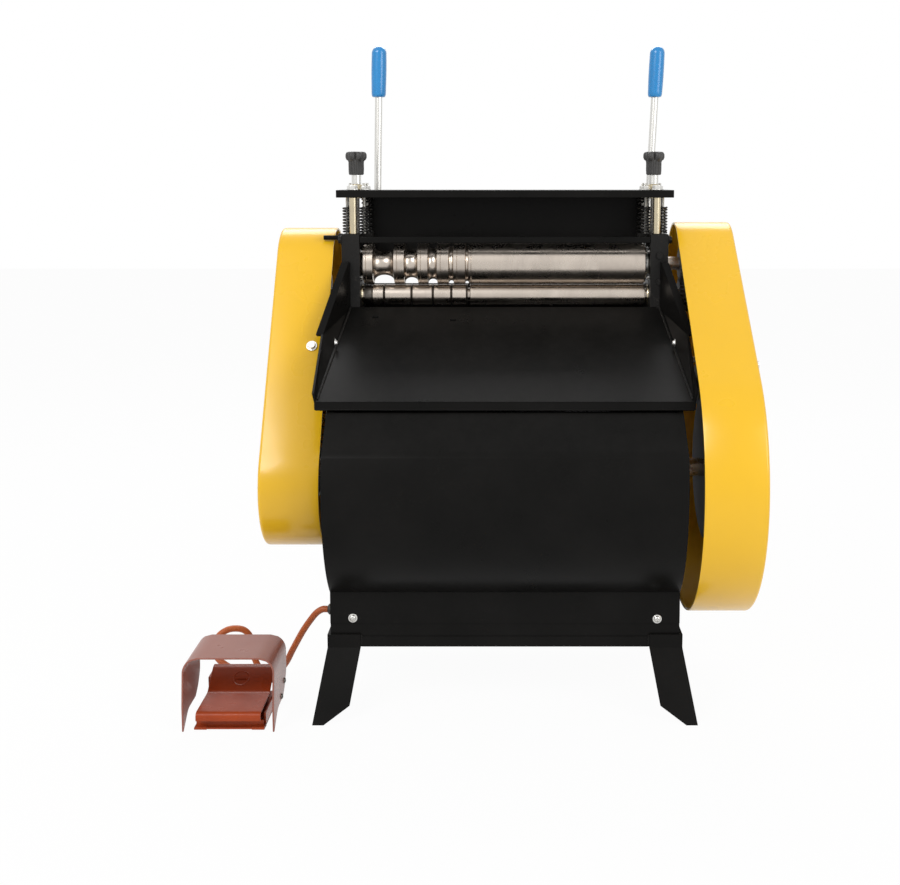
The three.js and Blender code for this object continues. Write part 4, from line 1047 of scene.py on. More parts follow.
@dataclass
class Drum:
    """The drum-shaped body: its front and rear sheets and their screws."""

    half: float = 255.0
    radius: float = 201.5
    wall: float = 1.5
    axis_height: float = 336.0
    shoulder: tuple[float, float] = (-131.0, 446.0)
    shoulder_height: float = 395.0
    low_angle: float = -51.0
    flange_front: float = -127.8
    flange_low: float = 133.0
    screw_places: tuple[tuple[float, float], ...] = ((-222, 141), (222, 139.7))
    rear_top: tuple[float, float] = (191.8, 604.5)

    def front_profile(self) -> Array:
        """The outside of the front sheet, from its top edge round the drum to the flange's lower edge.

        Returns:
            Pairs of y and z.
        """
        top = math.degrees(math.asin((self.shoulder_height - self.axis_height) / (self.radius - self.wall)))
        angle = np.radians(np.linspace(top, self.low_angle, 72))
        arc = np.stack([-self.radius * np.cos(angle), self.axis_height + self.radius * np.sin(angle)], -1)
        head = np.array([[self.shoulder[0] - self.wall, self.shoulder[1]]])
        run = resampled(np.concatenate([head, arc[:1]]), 8)[:-1]
        bend = smoothed([arc[-1], (self.flange_front, 148.5), (self.flange_front, self.flange_low)], 5)
        return np.concatenate([run, arc[:-1], bend])

    def sheet_between(self, outside: Array) -> Patch:
        """A sheet with the drum's wall, its outside swelling a little as rolled sheet does.

        Args:
            outside: pairs of y and z along the outside.

        Returns:
            The grid: a closed section at each place across the machine.
        """
        x = np.linspace(-self.half, self.half, 61)
        along = np.gradient(outside, axis=0)
        along /= np.linalg.norm(along, axis=1, keepdims=True)
        normal = np.stack([-along[:, 1], along[:, 0]], -1)
        centre = np.array([0.0, self.axis_height])
        normal *= np.sign(((outside - centre) * normal).sum(1, keepdims=True))
        share = np.linspace(0, 1, len(outside))
        fade = np.clip(share * 6, 0, 1) * np.clip((0.86 - share) * 8, 0, 1)
        side = (1 - (x / self.half) ** 8)[:, None]
        wave = (0.28 + 0.16 * np.sin(x[:, None] / 71 + share[None] * 5)
                + 0.1 * np.sin(x[:, None] / 29 - share[None] * 9))
        swell = (side * fade[None] * wave)[..., None]
        outer = outside[None] + normal[None] * swell
        inner = outside[None] - normal[None] * self.wall + 0 * swell
        section = np.concatenate([outer, inner[:, ::-1]], 1)
        return Patch(laid(Axis.X, section[..., 0], section[..., 1], x[:, None]), caps=True)

    def build_front(self) -> None:
        """The front sheet."""
        outside = self.front_profile()
        mesh_piece("drum_skin", [self.sheet_between(outside)], "machine", BLACK_ENAMEL, ["drum_cover"], 50)

    def build_rear(self) -> None:
        """The rear sheet: round the drum's back, then straight up to the head."""
        angle = np.radians(np.linspace(-48, 0, 40))
        arc = np.stack([self.radius * np.cos(angle), self.axis_height + self.radius * np.sin(angle)], -1)
        run = resampled(np.array([arc[-1], self.rear_top]), 16)[1:]
        mesh_piece("rear_skin", [self.sheet_between(np.concatenate([arc, run]))], "machine", BLACK_ENAMEL,
                   ["rear_cover"], 50)
        vents = [slab((x, 196.6, z), (x + 46, 200.2, z + 3)) for x in (-120, -58, 4, 62)
                 for z in (430, 442, 454, 466)]
        lean = [(z - 336) / 268.5 for z in (430, 442, 454, 466) * 4]
        for vent, share in zip(vents, [lean[i % 4] for i in range(16)]):
            vent.points[..., 1] += 4.1 - 9.7 * share
        round_edges(mesh_piece("rear_louvres", vents, "machine", BLACK_ENAMEL), 1.2)

    def build_screws(self) -> None:
        """Cross-head screws with washers through the flanges of both sheets, in front and behind."""
        patches = []
        for x, z in self.screw_places:
            patches.append(washer((x, 0, z), Axis.Y, 2.4, 6.6, self.flange_front - 1.1, self.flange_front))
            patches.append(pan_head((x, self.flange_front - 1.1, z), Axis.Y, 5.0, -2.9))
        mesh_piece("drum_screws", patches, "machine", ZINC_PLATE)
        behind = []
        for x in (-222, -74, 74, 222):
            behind.append(washer((x, 0, 545), Axis.Y, 2.4, 6.6, 193.9, 195.1))
            behind.append(pan_head((x, 195.1, 545), Axis.Y, 5.0, 2.9))
        mesh_piece("rear_screws", behind, "machine", ZINC_PLATE)

    def build(self) -> None:
        """Makes the body's pieces."""
        self.build_front()
        self.build_rear()
        self.build_screws()


@dataclass
class Guards:
    """The two deep drive guards: a band round two circles, a rounded corner and a flat face, open inside."""

    inner: float = 275.0
    outer: float = 365.0
    wall: float = 2.0
    corner: float = 5.0
    facet_depth: float = 0.4
    circles: dict[Side, tuple[float, ...]] = field(default_factory=lambda: {
        Side.RIGHT: (0, 331, 212, 152, 634, 74), Side.LEFT: (5, 313, 98, 170.5, 624, 74)})
    studs: dict[Side, tuple[float, float]] = field(default_factory=lambda: {
        Side.RIGHT: (20.0, 500.0), Side.LEFT: (185.0, 540.0)})

    def outline(self, side: Side, inset: float) -> Array:
        """The outline round the guard's two circles, moved inwards.

        Args:
            side: which guard.
            inset: how far it is moved inwards.

        Returns:
            Pairs of y and z, in order round the outline.
        """
        y1, z1, r1, y2, z2, r2 = self.circles[side]
        inset = inset + self.facet_depth
        lean = math.atan2(y2 - y1, z2 - z1)
        spread = math.asin((r1 - r2) / math.hypot(y2 - y1, z2 - z1))
        upper = np.linspace(lean + math.pi / 2 - spread, lean - math.pi / 2 + spread, 56)
        lower = np.linspace(lean - math.pi / 2 + spread, lean - 1.5 * math.pi - spread, 72)
        top = np.stack([y2 + (r2 - inset) * np.sin(upper), z2 + (r2 - inset) * np.cos(upper)], -1)
        low = np.stack([y1 + (r1 - inset) * np.sin(lower), z1 + (r1 - inset) * np.cos(lower)], -1)
        down = resampled(np.stack([top[-1], low[0]]), 26)[1:-1]
        up = resampled(np.stack([low[-1], top[0]]), 26)[1:-1]
        return np.concatenate([top, down, low, up])

    def build_shell(self, side: Side) -> None:
        """One guard: its section runs from the rolled rim over the corner to the face, and back inside."""
        bend = np.radians(np.linspace(0, 90, 6))
        r = self.corner
        out = [(0.0, self.inner + 1.2), (0.0, self.outer - r)]
        out += [(r - r * math.cos(b), self.outer - r + r * math.sin(b)) for b in bend[1:]]
        out += [(r + 3, self.outer)]
        back = [(r + 3, self.outer - self.wall), (r, self.outer - self.wall),
                (self.wall + 1.2, self.outer - r),
                (self.wall, self.outer - r - 3), (self.wall, self.inner + 6),
                (self.wall + 1.5, self.inner + 4.5),
                (self.wall + 1.5, self.inner + 0.8), (self.wall + 0.7, self.inner), (0.6, self.inner)]
        outside = np.stack([laid(Axis.X, *self.outline(side, d).T, np.array(side.sign * w)) for d, w in out])
        inside = np.stack([laid(Axis.X, *self.outline(side, d).T, np.array(side.sign * w)) for d, w in back])
        stiff = np.clip((outside[..., 2] - 120) / 60, 0, 1)
        ripple = 0.22 * np.sin(outside[..., 2] / 43 + outside[..., 0] / 26) * stiff
        outside[..., 1] -= ripple * (np.abs(outside[..., 0]) < self.outer - 12)
        whole = Patch(np.concatenate([outside[::-1], inside[::-1]]), caps=True)
        mesh_piece(f"{side.word}_guard_shell", [whole], "machine", YELLOW_ENAMEL, [f"{side.word}_guard"], 40)

    def build_fixings(self, side: Side) -> None:
        """The stud that holds the guard, its washer and nut outside, and a spacer inside."""
        y, z = self.studs[side]
        s = side.sign
        face = self.outer
        patches = [washer((0, y, z), Axis.X, 5.4, 11.5, s * (face + 0.2), s * (face + 1.9)),
                   hexagon((0, y, z), Axis.X, 15, s * (face + 1.9), s * (face + 5.9)),
                   threaded((0, y, z), Axis.X, 5.0, 1.5, *sorted((s * 255.4, s * (face + 3.6)))),
                   turned([(s * 255.4, 5.3), (s * 255.4, 9), (s * 273, 9), (s * 273, 5.3)], (0, y, z),
                          Axis.X, 32, closed=True)]
        mesh_piece(f"{side.word}_guard_bolt", patches, "machine", ZINC_PLATE, [f"{side.word}_guard_stud"])

    def build_rim_bolts(self) -> None:
        """The bolt through the left guard's rim, and the one on the right guard's outer face."""
        y1, z1, r1, y2, z2, r2 = self.circles[Side.LEFT]
        lean = math.atan2(y2 - y1, z2 - z1)
        spread = math.asin((r1 - r2) / math.hypot(y2 - y1, z2 - z1))
        patches = []
        share = 0.525
        a = lean - math.pi / 2 + spread
        y = y1 + (y2 - y1) * share + (r1 + (r2 - r1) * share) * math.sin(a)
        z = z1 + (z2 - z1) * share + (r1 + (r2 - r1) * share) * math.cos(a)
        for patch in (washer((0, 0, 0), Axis.Y, 3.4, 8.4, -0.3, -1.8),
                      hexagon((0, 0, 0), Axis.Y, 11, -1.8, -6.4)):
            turn = np.array([[1, 0, 0], [0, math.cos(a + math.pi / 2), -math.sin(a + math.pi / 2)],
                             [0, math.sin(a + math.pi / 2), math.cos(a + math.pi / 2)]])
            patch.points = patch.points @ turn + np.array([-298, y, z])
            patches.append(patch)
        mesh_piece("left_guard_rim_bolt", patches, "machine", ZINC_PLATE)
        face = self.outer
        outside = [washer((0, -83, 508), Axis.X, 3.4, 8.4, face + 0.1, face + 1.5),
                   hexagon((0, -83, 508), Axis.X, 11, face + 1.5, face + 5.6)]
        mesh_piece("right_guard_side_bolt", outside, "machine", ZINC_PLATE)

    def build(self) -> None:
        """Makes both guards."""
        for side in Side:
            self.build_shell(side)
            self.build_fixings(side)
        self.build_rim_bolts()


@dataclass
class FeedTray:
    """The sloping tray in front of the rollers, with rounded edges on its folded sheet, and its bolts."""

    rear: float = 96.7
    front: float = -134.0
    rear_half: float = 250.0
    front_half: float = 272.0
    rear_height: float = 574.0
    front_height: float = 462.0
    bolt_y: float = -14.0
    bolt_rise: float = 10.5

    def hem(self, back: float, below: float, radius: float) -> Patch:
        """A straight rounded hem across the tray's front edge, set back from it and below it."""
        x = np.linspace(-self.front_half + 2, self.front_half - 2, 40)
        y, z = np.full(40, self.front + back), np.full(40, self.front_height - below)
        return tube(np.stack([x, y, z], -1), radius, 12)

    def height_at(self, y: float | Array) -> float | Array:
        """The height of the tray's floor at a distance back."""
        share = (y - self.front) / (self.rear - self.front)
        return self.front_height + share * (self.rear_height - self.front_height)

    def half_at(self, y: float | Array) -> float | Array:
        """The tray's half width at a distance back."""
        share = (y - self.front) / (self.rear - self.front)
        return self.front_half + share * (self.rear_half - self.front_half)

    def build(self) -> None:
        """Makes the wall bolts, the stiffening beads of the lip and the seam at each wall."""
        bolts = []
        y = self.bolt_y
        z = self.height_at(y) + self.bolt_rise
        for s in (-1, 1):
            x = s * (self.half_at(y) - 3.1)
            bolts.append(washer((0, y, z), Axis.X, 2.6, 6.2, x, x - s * 1.1))
            bolts.append(pan_head((x - s * 1.1, y, z), Axis.X, 4.6, -s * 3.0))
        mesh_piece("tray_bolts", bolts, "machine", ZINC_PLATE)
        hems = [self.hem(0.7, 11.4, 1.6), self.hem(0.6, 0.5, 0.9)]
        mesh_piece("tray_hem", hems, "machine", BLACK_ENAMEL)
        seams = []
        for s in (-1, 1):
            y = np.linspace(self.front + 5, self.rear - 2, 90)
            bead = 1.5 + 0.35 * np.sin(y * 1.9)
            path = np.stack([s * (self.half_at(y) - 3.6), y, self.height_at(y) + 0.6], -1)
            seams.append(tube(path, bead, 10))
        mesh_piece("tray_seams", seams, "machine", ROUGH_ENAMEL)


# Head and rollers


@dataclass
class Head:
    """The posts' fixings, the tie bar, the rear guard and the bolts of the lift bearings."""

    tie_half: float = 231.7
    tie: tuple[float, float, float, float] = (97.3, 107.0, 676.0, 686.0)
    rear_half: float = 227.0
    rear: tuple[float, float, float, float] = (180.0, 183.0, 632.0, 747.7)
    post: tuple[float, float] = (232.0, 260.0)
    front: float = 97.0
    bow: float = 0.5
    bow_length: float = 61.0
    tie_screw: tuple[float, float] = (102.0, 681.0)
    side_pin: tuple[float, float] = (118.0, 684.0)
    post_bolts: tuple[tuple[float, float], ...] = ((614.0, 4.2), (656.0, 4.2), (570.0, 3.4))
    roller_axis: tuple[float, float] = (140.0, 641.0)
    bush_axis: tuple[float, float] = (140.0, 590.0)
    cap_reach: float = 21.0
    cap_seat: float = 1.0

    def build_bars(self) -> None:
        """The tie bar in front and the sheet behind the rollers, both with rounded edges."""
        y0, y1, z0, z1 = self.tie
        bar = mesh_piece("tie_bar", [slab((-self.tie_half, y0, z0), (self.tie_half, y1, z1))], "machine",
                         BLACK_ENAMEL, ["front_tie_bar"])
        round_edges(bar, 1.6, 4)
        y0, y1, z0, z1 = self.rear
        x = np.linspace(-self.rear_half, self.rear_half, 49)[:, None]
        section = np.array([[y0, z0], [y1, z0], [y1, z1], [y0, z1]])
        bow = -self.bow * np.sin(x / self.bow_length) * np.array([[1, 0, 0, 1]])
        sheet = Patch(laid(Axis.X, section[None, :, 0] + bow * 0.6, section[None, :, 1] + 0 * bow, x),
                      caps=True)
        round_edges(mesh_piece("rear_sheet", [sheet], "machine", BLACK_ENAMEL, ["rear_guard"], 50), 0.6)

    def build_fixings(self, side: Side) -> None:
        """Bolts of one post: the tie bar's screw, the side pin, and the cap screws of the bearings.

        Args:
            side: which post.
        """
        s = side.sign
        inner, outer = self.post
        middle = s * (inner + outer) / 2
        patches = [hexagon((0, *self.tie_screw), Axis.X, 11, s * (outer + 0.1), s * (outer + 5.5)),
                   washer((0, *self.tie_screw), Axis.X, 3.2, 7.5, s * outer, s * (outer + 1.3))]
        if side is Side.LEFT:
            patches.append(threaded((0, *self.side_pin), Axis.X, 3.9, 1.3, -outer - 31, -outer))
            patches.append(hexagon((0, *self.side_pin), Axis.X, 13, -outer - 1, -outer - 7.5))
        else:
            for z, rise in self.post_bolts:
                patches.append(hexagon((middle, 0, z), Axis.Y, 10, self.front, self.front - rise))
        mesh_piece(f"{side.word}_post_bolts", patches, "machine", ROUGH_ENAMEL)
        profile = [(s * (inner - 0.1), 3.2), (s * (inner - 3.4), 3.2), (s * (inner - 4.0), 2.5),
                   (s * (inner - 4.0), 1.5), (s * (inner - 2.0), 1.4), (s * (inner - 2.0), 0)]
        y, z = self.roller_axis
        reach = (-self.cap_reach, self.cap_reach)
        caps = [turned(profile, (0, y + dy, z + dz), Axis.X, 24) for dz in reach for dy in reach]
        rings = [turned([(s * (inner + 0.6), 11.4), (s * (inner + 0.6), 16.6), (s * (inner - 1.0), 16.0),
                         (s * (inner - 1.0), 11.4)], (0, y, z), Axis.X, 40, closed=True)]
        for patch in caps:
            patch.points[..., 0] += s * self.cap_seat
        mesh_piece(f"{side.word}_bearing_caps", caps + rings, "upper_carriage", ZINC_PLATE)
        washers = [turned([(s * (inner + 0.1), 11.6), (s * (inner + 0.1), 16.4), (s * (inner - 1.4), 15.8),
                           (s * (inner - 1.4), 11.6)], (0, *self.bush_axis), Axis.X, 40, closed=True)]
        mesh_piece(f"{side.word}_bush_flange", washers, "machine", YELLOW_ZINC)

    def build(self) -> None:
        """Makes the head's pieces."""
        self.build_bars()
        for side in Side:
            self.build_fixings(side)


@dataclass
class Adjuster:
    """The height adjuster: top plate, columns, screws with star knobs, and spring rods with their springs."""

    plate: tuple[tuple[float, float, float], tuple[float, float, float]] = ((-268, 98, 748), (268, 186, 760))
    post_top: float = 690.0
    screw: tuple[float, float] = (240.0, 140.0)
    column: tuple[float, float] = (242.0, 108.0)
    springs: tuple[tuple[float, float], ...] = ((226, 166), (253, 166), (253, 124), (226, 124))
    knob_low: float = 784.0
    rod_radius: float = 3.0
    rod_pitch: float = 1.1
    short_rod: tuple[float, float] = (253, 124)
    lift_spring: tuple[float, float, float] = (8.0, 1.6, 8)
    spare_spring: tuple[float, float, float] = (7.0, 1.5, 9)
    spare_drop: float = 14.0
    stem: tuple[float, float, float] = (5.0, 1.5, 668.2)
    stem_gap: float = 0.2
    collar: tuple[tuple[float, float], ...] = (
        (767, 0), (767, 7.0), (767.8, 7.6), (783, 7.6), (783.6, 7.2), (783.6, 0))
    collar_rise: float = 1.6
    knob_sides: int = 144
    knob_flutes: int = 18
    lobe_pairs: int = 3
    knob_rows: tuple[tuple[float, float, float, float], ...] = (
        (0, 0.0, 0, 0), (0, 10.6, 0.0, 0), (1.2, 12.0, 0.5, 0), (8, 12.4, 0.9, 0), (20, 12.4, 0.9, 0),
        (22.5, 12.6, 0.2, 0.6), (24.5, 13.6, 0, 2.8), (28, 14.3, 0, 3.6), (33, 14.2, 0, 3.5),
        (35.8, 13.2, 0, 2.9), (37, 11.4, 0, 1.9), (37.2, 9.4, 0, 0.8), (36.6, 7.8, 0, 0), (36.4, 6, 0, 0),
        (37.0, 5, 0, 0), (37.0, 0, 0, 0))

    def build_plate(self) -> None:
        """The top plate, its edges broken by a fine bevel."""
        plate = mesh_piece("adjuster_plate", [slab(*self.plate)], "machine", BLACK_ENAMEL, ["top_plate"])
        round_edges(plate, 1.0, 3)

    def build_rods(self, side: Side) -> None:
        """Columns, spring rods, nuts and washers of one side.

        Args:
            side: which side.
        """
        s = side.sign
        low, high = self.plate[0][2], self.plate[1][2]
        cx, cy = s * self.column[0], self.column[1]
        column = turned([(self.post_top + 0.2, 0), (self.post_top + 0.2, 5.4), (self.post_top + 0.9, 6.0),
                         (low - 0.2, 6.0), (low - 0.2, 0)], (cx, cy, 0), Axis.Z, 40)
        cap = [washer((cx, cy, 0), Axis.Z, 3.0, 8.5, high + 0.1, high + 1.7),
               hexagon((cx, cy, 0), Axis.Z, 13, high + 1.7, high + 7.7)]
        mesh_piece(f"{side.word}_column", [column], "machine", YELLOW_ZINC, [f"{side.word}_guide_column"])
        mesh_piece(f"{side.word}_column_bolt", cap, "machine", ZINC_PLATE)
        rods, nuts = [], []
        thread = (self.rod_radius, self.rod_pitch)
        for x, y in self.springs:
            rods.append(threaded((s * x, y, 0), Axis.Z, *thread, self.post_top + 0.4, low - 0.3))
            if (x, y) != self.short_rod:
                rods.append(threaded((s * x, y, 0), Axis.Z, *thread, high + 0.2, high + 11.0))
                nuts.append(washer((s * x, y, 0), Axis.Z, 3.1, 6.8, high + 0.1, high + 1.2))
                nuts.append(hexagon((s * x, y, 0), Axis.Z, 10, high + 1.2, high + 6.2))
        mesh_piece(f"{side.word}_spring_rods", rods + nuts, "machine", ZINC_PLATE)
        sx, sy = s * self.screw[0], self.screw[1]
        lock = [washer((sx, sy, 0), Axis.Z, 5.4, 10.5, high + 0.1, high + 1.9),
                hexagon((sx, sy, 0), Axis.Z, 16, high + 1.9, high + 8.4)]
        lock.append(washer((sx, sy, 0), Axis.Z, 5.4, 9.5, low - 1.8, low - 0.1))
        mesh_piece(f"{side.word}_lock_nut", lock, "machine", YELLOW_ZINC)

    def build_springs(self, side: Side) -> None:
        """The wound springs of one side, from the post's top to the plate.

        Args:
            side: which side.
        """
        s = side.sign
        low, high = self.post_top + 0.3, self.plate[0][2] - 0.3
        first = coil((s * self.springs[0][0], self.springs[0][1]), *self.lift_spring, low, high)
        mesh_piece(f"{side.word}_lift_spring", [first], "machine", SPRING_STEEL,
                   [f"{side.word}_return_spring"])
        others = [coil((s * x, y), *self.spare_spring, low, high - self.spare_drop)
                  for x, y in self.springs[1:]]
        mesh_piece(f"{side.word}_spare_springs", others, "machine", SPRING_STEEL)

    def build_knob(self, side: Side) -> None:
        """The star knob and its screw: a fluted skirt, six lobes on top, a shallow dome and a threaded stem.

        Args:
            side: which side.
        """
        s = side.sign
        x, y = s * self.screw[0], self.screw[1]
        angle = np.arange(self.knob_sides) * TURN / self.knob_sides
        flute = -np.clip(np.cos(angle * self.knob_flutes), 0, 1)
        lobe = np.abs(np.cos(angle * self.lobe_pairs)) ** 0.8 * 1.6 - 0.8
        radius = np.stack([np.full(self.knob_sides, r) + f * flute + k * lobe
                           for _, r, f, k in self.knob_rows])
        height = np.array([self.knob_low + h for h, *_ in self.knob_rows])[:, None]
        points = laid(Axis.Z, x + radius * np.cos(angle), y + radius * np.sin(angle), height + 0 * radius)
        mesh_piece(f"{side.word}_knob", [Patch(points)], f"{side.word}_knob", KNOB_PLASTIC,
                   [f"{side.word}_star_knob"], 40)
        stop = self.knob_low - self.stem_gap
        stem = threaded((x, y, 0), Axis.Z, *self.stem, stop)
        collar = turned(self.collar, (x, y, self.collar_rise), Axis.Z, 32)
        collar.points[..., 2] = np.minimum(collar.points[..., 2], stop)
        mesh_piece(f"{side.word}_screw", [stem, collar], f"{side.word}_knob", ZINC_PLATE,
                   [f"{side.word}_adjusting_screw"])

    def build(self) -> None:
        """Makes the adjuster's pieces."""
        self.build_plate()
        for side in Side:
            self.build_rods(side)
            self.build_springs(side)
            self.build_knob(side)


@dataclass
class Rollers:
    """The two rollers: a grooved upper one, and below it blades between spacers and a plain feed sleeve."""

    axis_y: float = 140.0
    upper: float = 641.0
    lower: float = 590.0
    upper_radius: float = 32.5
    feed_radius: float = 17.0
    shaft: float = 11.0
    left: float = -229.0
    right: float = 227.0
    grooves: tuple[tuple[float, float, float], ...] = (
        (-196, 17, 14), (-151.5, 11, 10), (-117, 7.5, 7.5), (-87, 4, 5), (-61.5, 2.8, 4))
    collars: tuple[tuple[float, float], ...] = ((227.2, 230.6), (-230.8, -229.4))
    upper_sides: int = 112
    lower_sides: int = 80
    stack_start: float = -215.0
    blade_seat: float = 1.2
    blade_half: float = 1.0
    blade_rise: float = 1.3

    def build_upper(self) -> None:
        """The upper roller: each groove is half an ellipse along the axis, with turned lines between them."""
        r = self.upper_radius
        profile = [(self.left, self.shaft), (self.left, r - 1), (self.left + 1, r)]
        t = np.linspace(0, math.pi, 19)
        place = self.left + 1
        for middle, half, depth in self.grooves:
            edge = middle - half
            if edge - place > 9:
                line = place + (edge - place) * 0.3
                profile += [(line - 0.5, r), (line, r - 0.5), (line + 0.5, r)]
            profile += list(zip(middle - half * np.cos(t), r - depth * np.sin(t) ** 0.8))
            place = middle + half
        profile += [(-55.2, r), (-54.6, r - 0.5), (-54.0, r)]
        profile += [(w, r) for w in np.linspace(-50, self.right - 2, 20)]
        profile += [(self.right, r - 1.6), (self.right, self.shaft)]
        roller = turned([(-260.2, 0), (-260.2, 10.4), (-259.6, self.shaft), *profile, (302.0, self.shaft),
                         (303.0, 10), (303.0, 0)], (0, self.axis_y, self.upper), Axis.X, self.upper_sides)
        mesh_piece("grooved_roller", [roller], "upper_roller_body", TURNED_STEEL, ["upper_roller"], 28)
        collar = [turned([(w0, self.shaft), (w0, 17.5), (w0 + 0.6, 18.2), (w1, 18.2), (w1, self.shaft)],
                         (0, self.axis_y, self.upper), Axis.X, 48, closed=True)
                  for w0, w1 in self.collars]
        mesh_piece("roller_collars", collar, "upper_roller_body", ZINC_PLATE)

    def build_lower(self) -> None:
        """The lower roller: spacers with chamfered ends, a thin blade beside each groove, and the sleeve."""
        place = (0, self.axis_y, self.lower)
        r, bore = self.feed_radius, self.shaft + 0.3
        stack, discs = [], []
        start = self.stack_start
        for middle, _, _ in self.grooves:
            stop = middle - self.blade_seat
            near, far = middle - self.blade_half, middle + self.blade_half
            spacer = [(start, bore), (start, r - 1.0), (start + 0.8, r - 0.2), (stop - 0.8, r - 0.2),
                      (stop, r - 1.0), (stop, bore)]
            blade = [(near, bore), (near, r), (middle, r + self.blade_rise), (far, r), (far, bore)]
            stack.append(turned(spacer, place, Axis.X, self.lower_sides, closed=True))
            discs.append(turned(blade, place, Axis.X, self.lower_sides, closed=True))
            start = middle + self.blade_seat
        mesh_piece("blade_spacers", stack, "lower_roller_body", TURNED_STEEL, ["cutter_stack"], 28)
        mesh_piece("cutting_blades", discs, "lower_roller_body", DARK_STEEL, crease=28)
        body = [(-57.0, bore), (-57.0, r - 1), (-56, r)] + [(w, r) for w in np.linspace(-50, 224, 20)]
        body += [(226, r), (227, r - 1), (227, bore)]
        mesh_piece("plain_sleeve", [turned(body, place, Axis.X, self.lower_sides, closed=True)],
                   "lower_roller_body", TURNED_STEEL, ["feed_sleeve"], 28)
        ring = [(-228.0, bore), (-228.0, 15.2), (-227.2, 16), (-216.6, 16), (-215.6, 15.2), (-215.6, bore)]
        screw = turned([(0, 0), (0, 2.6), (0.7, 2.6), (0.7, 0)], (-222, self.axis_y, self.lower + 15.6),
                       Axis.Z, 16)
        mesh_piece("clamp_collar", [turned(ring, place, Axis.X, 64, closed=True), screw], "lower_roller_body",
                   DARK_STEEL)

    def build(self) -> None:
        """Makes both rollers."""
        self.build_upper()
        self.build_lower()


@dataclass
class Drive:
    """The chain between the countershaft and the lower roller, with its pins and side plates."""

    inner: float = 287.0
    width: float = 8.0
    centres: tuple[tuple[float, float], tuple[float, float]] = ((0, 336), (140, 590))
    radius: float = 43.0
    links: int = 68
    plate_corners: int = 14
    plate_radius: float = 2.7
    plate_waist: float = 0.12
    plate_thickness: float = 0.9
    pin_radius: float = 2.1

    def build_chain(self) -> None:
        """Links at even places along the loop: two rounded plates and a roller each, turned to the loop."""
        (y1, z1), (y2, z2) = self.centres
        lean = math.atan2(y2 - y1, z2 - z1)
        upper = np.linspace(lean + math.pi / 2, lean - math.pi / 2, 40)
        lower = upper - math.pi
        loop = np.concatenate([np.stack([y + self.radius * np.sin(a), z + self.radius * np.cos(a)], -1)
                               for y, z, a in ((y2, z2, upper), (y1, z1, lower))])
        loop = resampled(np.concatenate([loop, loop[:1]]), self.links + 1)
        here, after = loop[:-1], loop[1:]
        ahead = after - here
        pitch = np.linalg.norm(ahead, axis=1).mean()
        ahead /= np.linalg.norm(ahead, axis=1, keepdims=True)
        across = np.stack([-ahead[:, 1], ahead[:, 0]], -1)
        angle = np.arange(self.plate_corners) * TURN / self.plate_corners
        bulge = np.where(np.cos(angle) > 0, 1.0, 0.0)
        u = self.plate_radius * np.cos(angle) + bulge * pitch
        v = self.plate_radius * np.sin(angle) * (1 - self.plate_waist * np.abs(np.sin(angle)))
        outline = here[:, None] + u[None, :, None] * ahead[:, None] + v[None, :, None] * across[:, None]
        patches = []
        thin = self.plate_thickness
        rim = self.pin_radius * np.stack([np.cos(angle[::2]), np.sin(angle[::2])], -1)
        for k in range(self.links):
            near = 0.0 if k % 2 else 1.0
            for w0, w1 in ((near, near + thin), (self.width - near - thin, self.width - near)):
                patches.append(prism(outline[k], Axis.X, -self.inner - w0, -self.inner - w1))
            patches.append(prism(here[k] + rim, Axis.X, -self.inner - 0.2, -self.inner - self.width + 0.2))
        mesh_piece("roller_chain", patches, "machine", DARK_STEEL, ["drive_chain"])

    def build(self) -> None:
        """Makes the chain."""
        self.build_chain()


# Levers, stand and motor


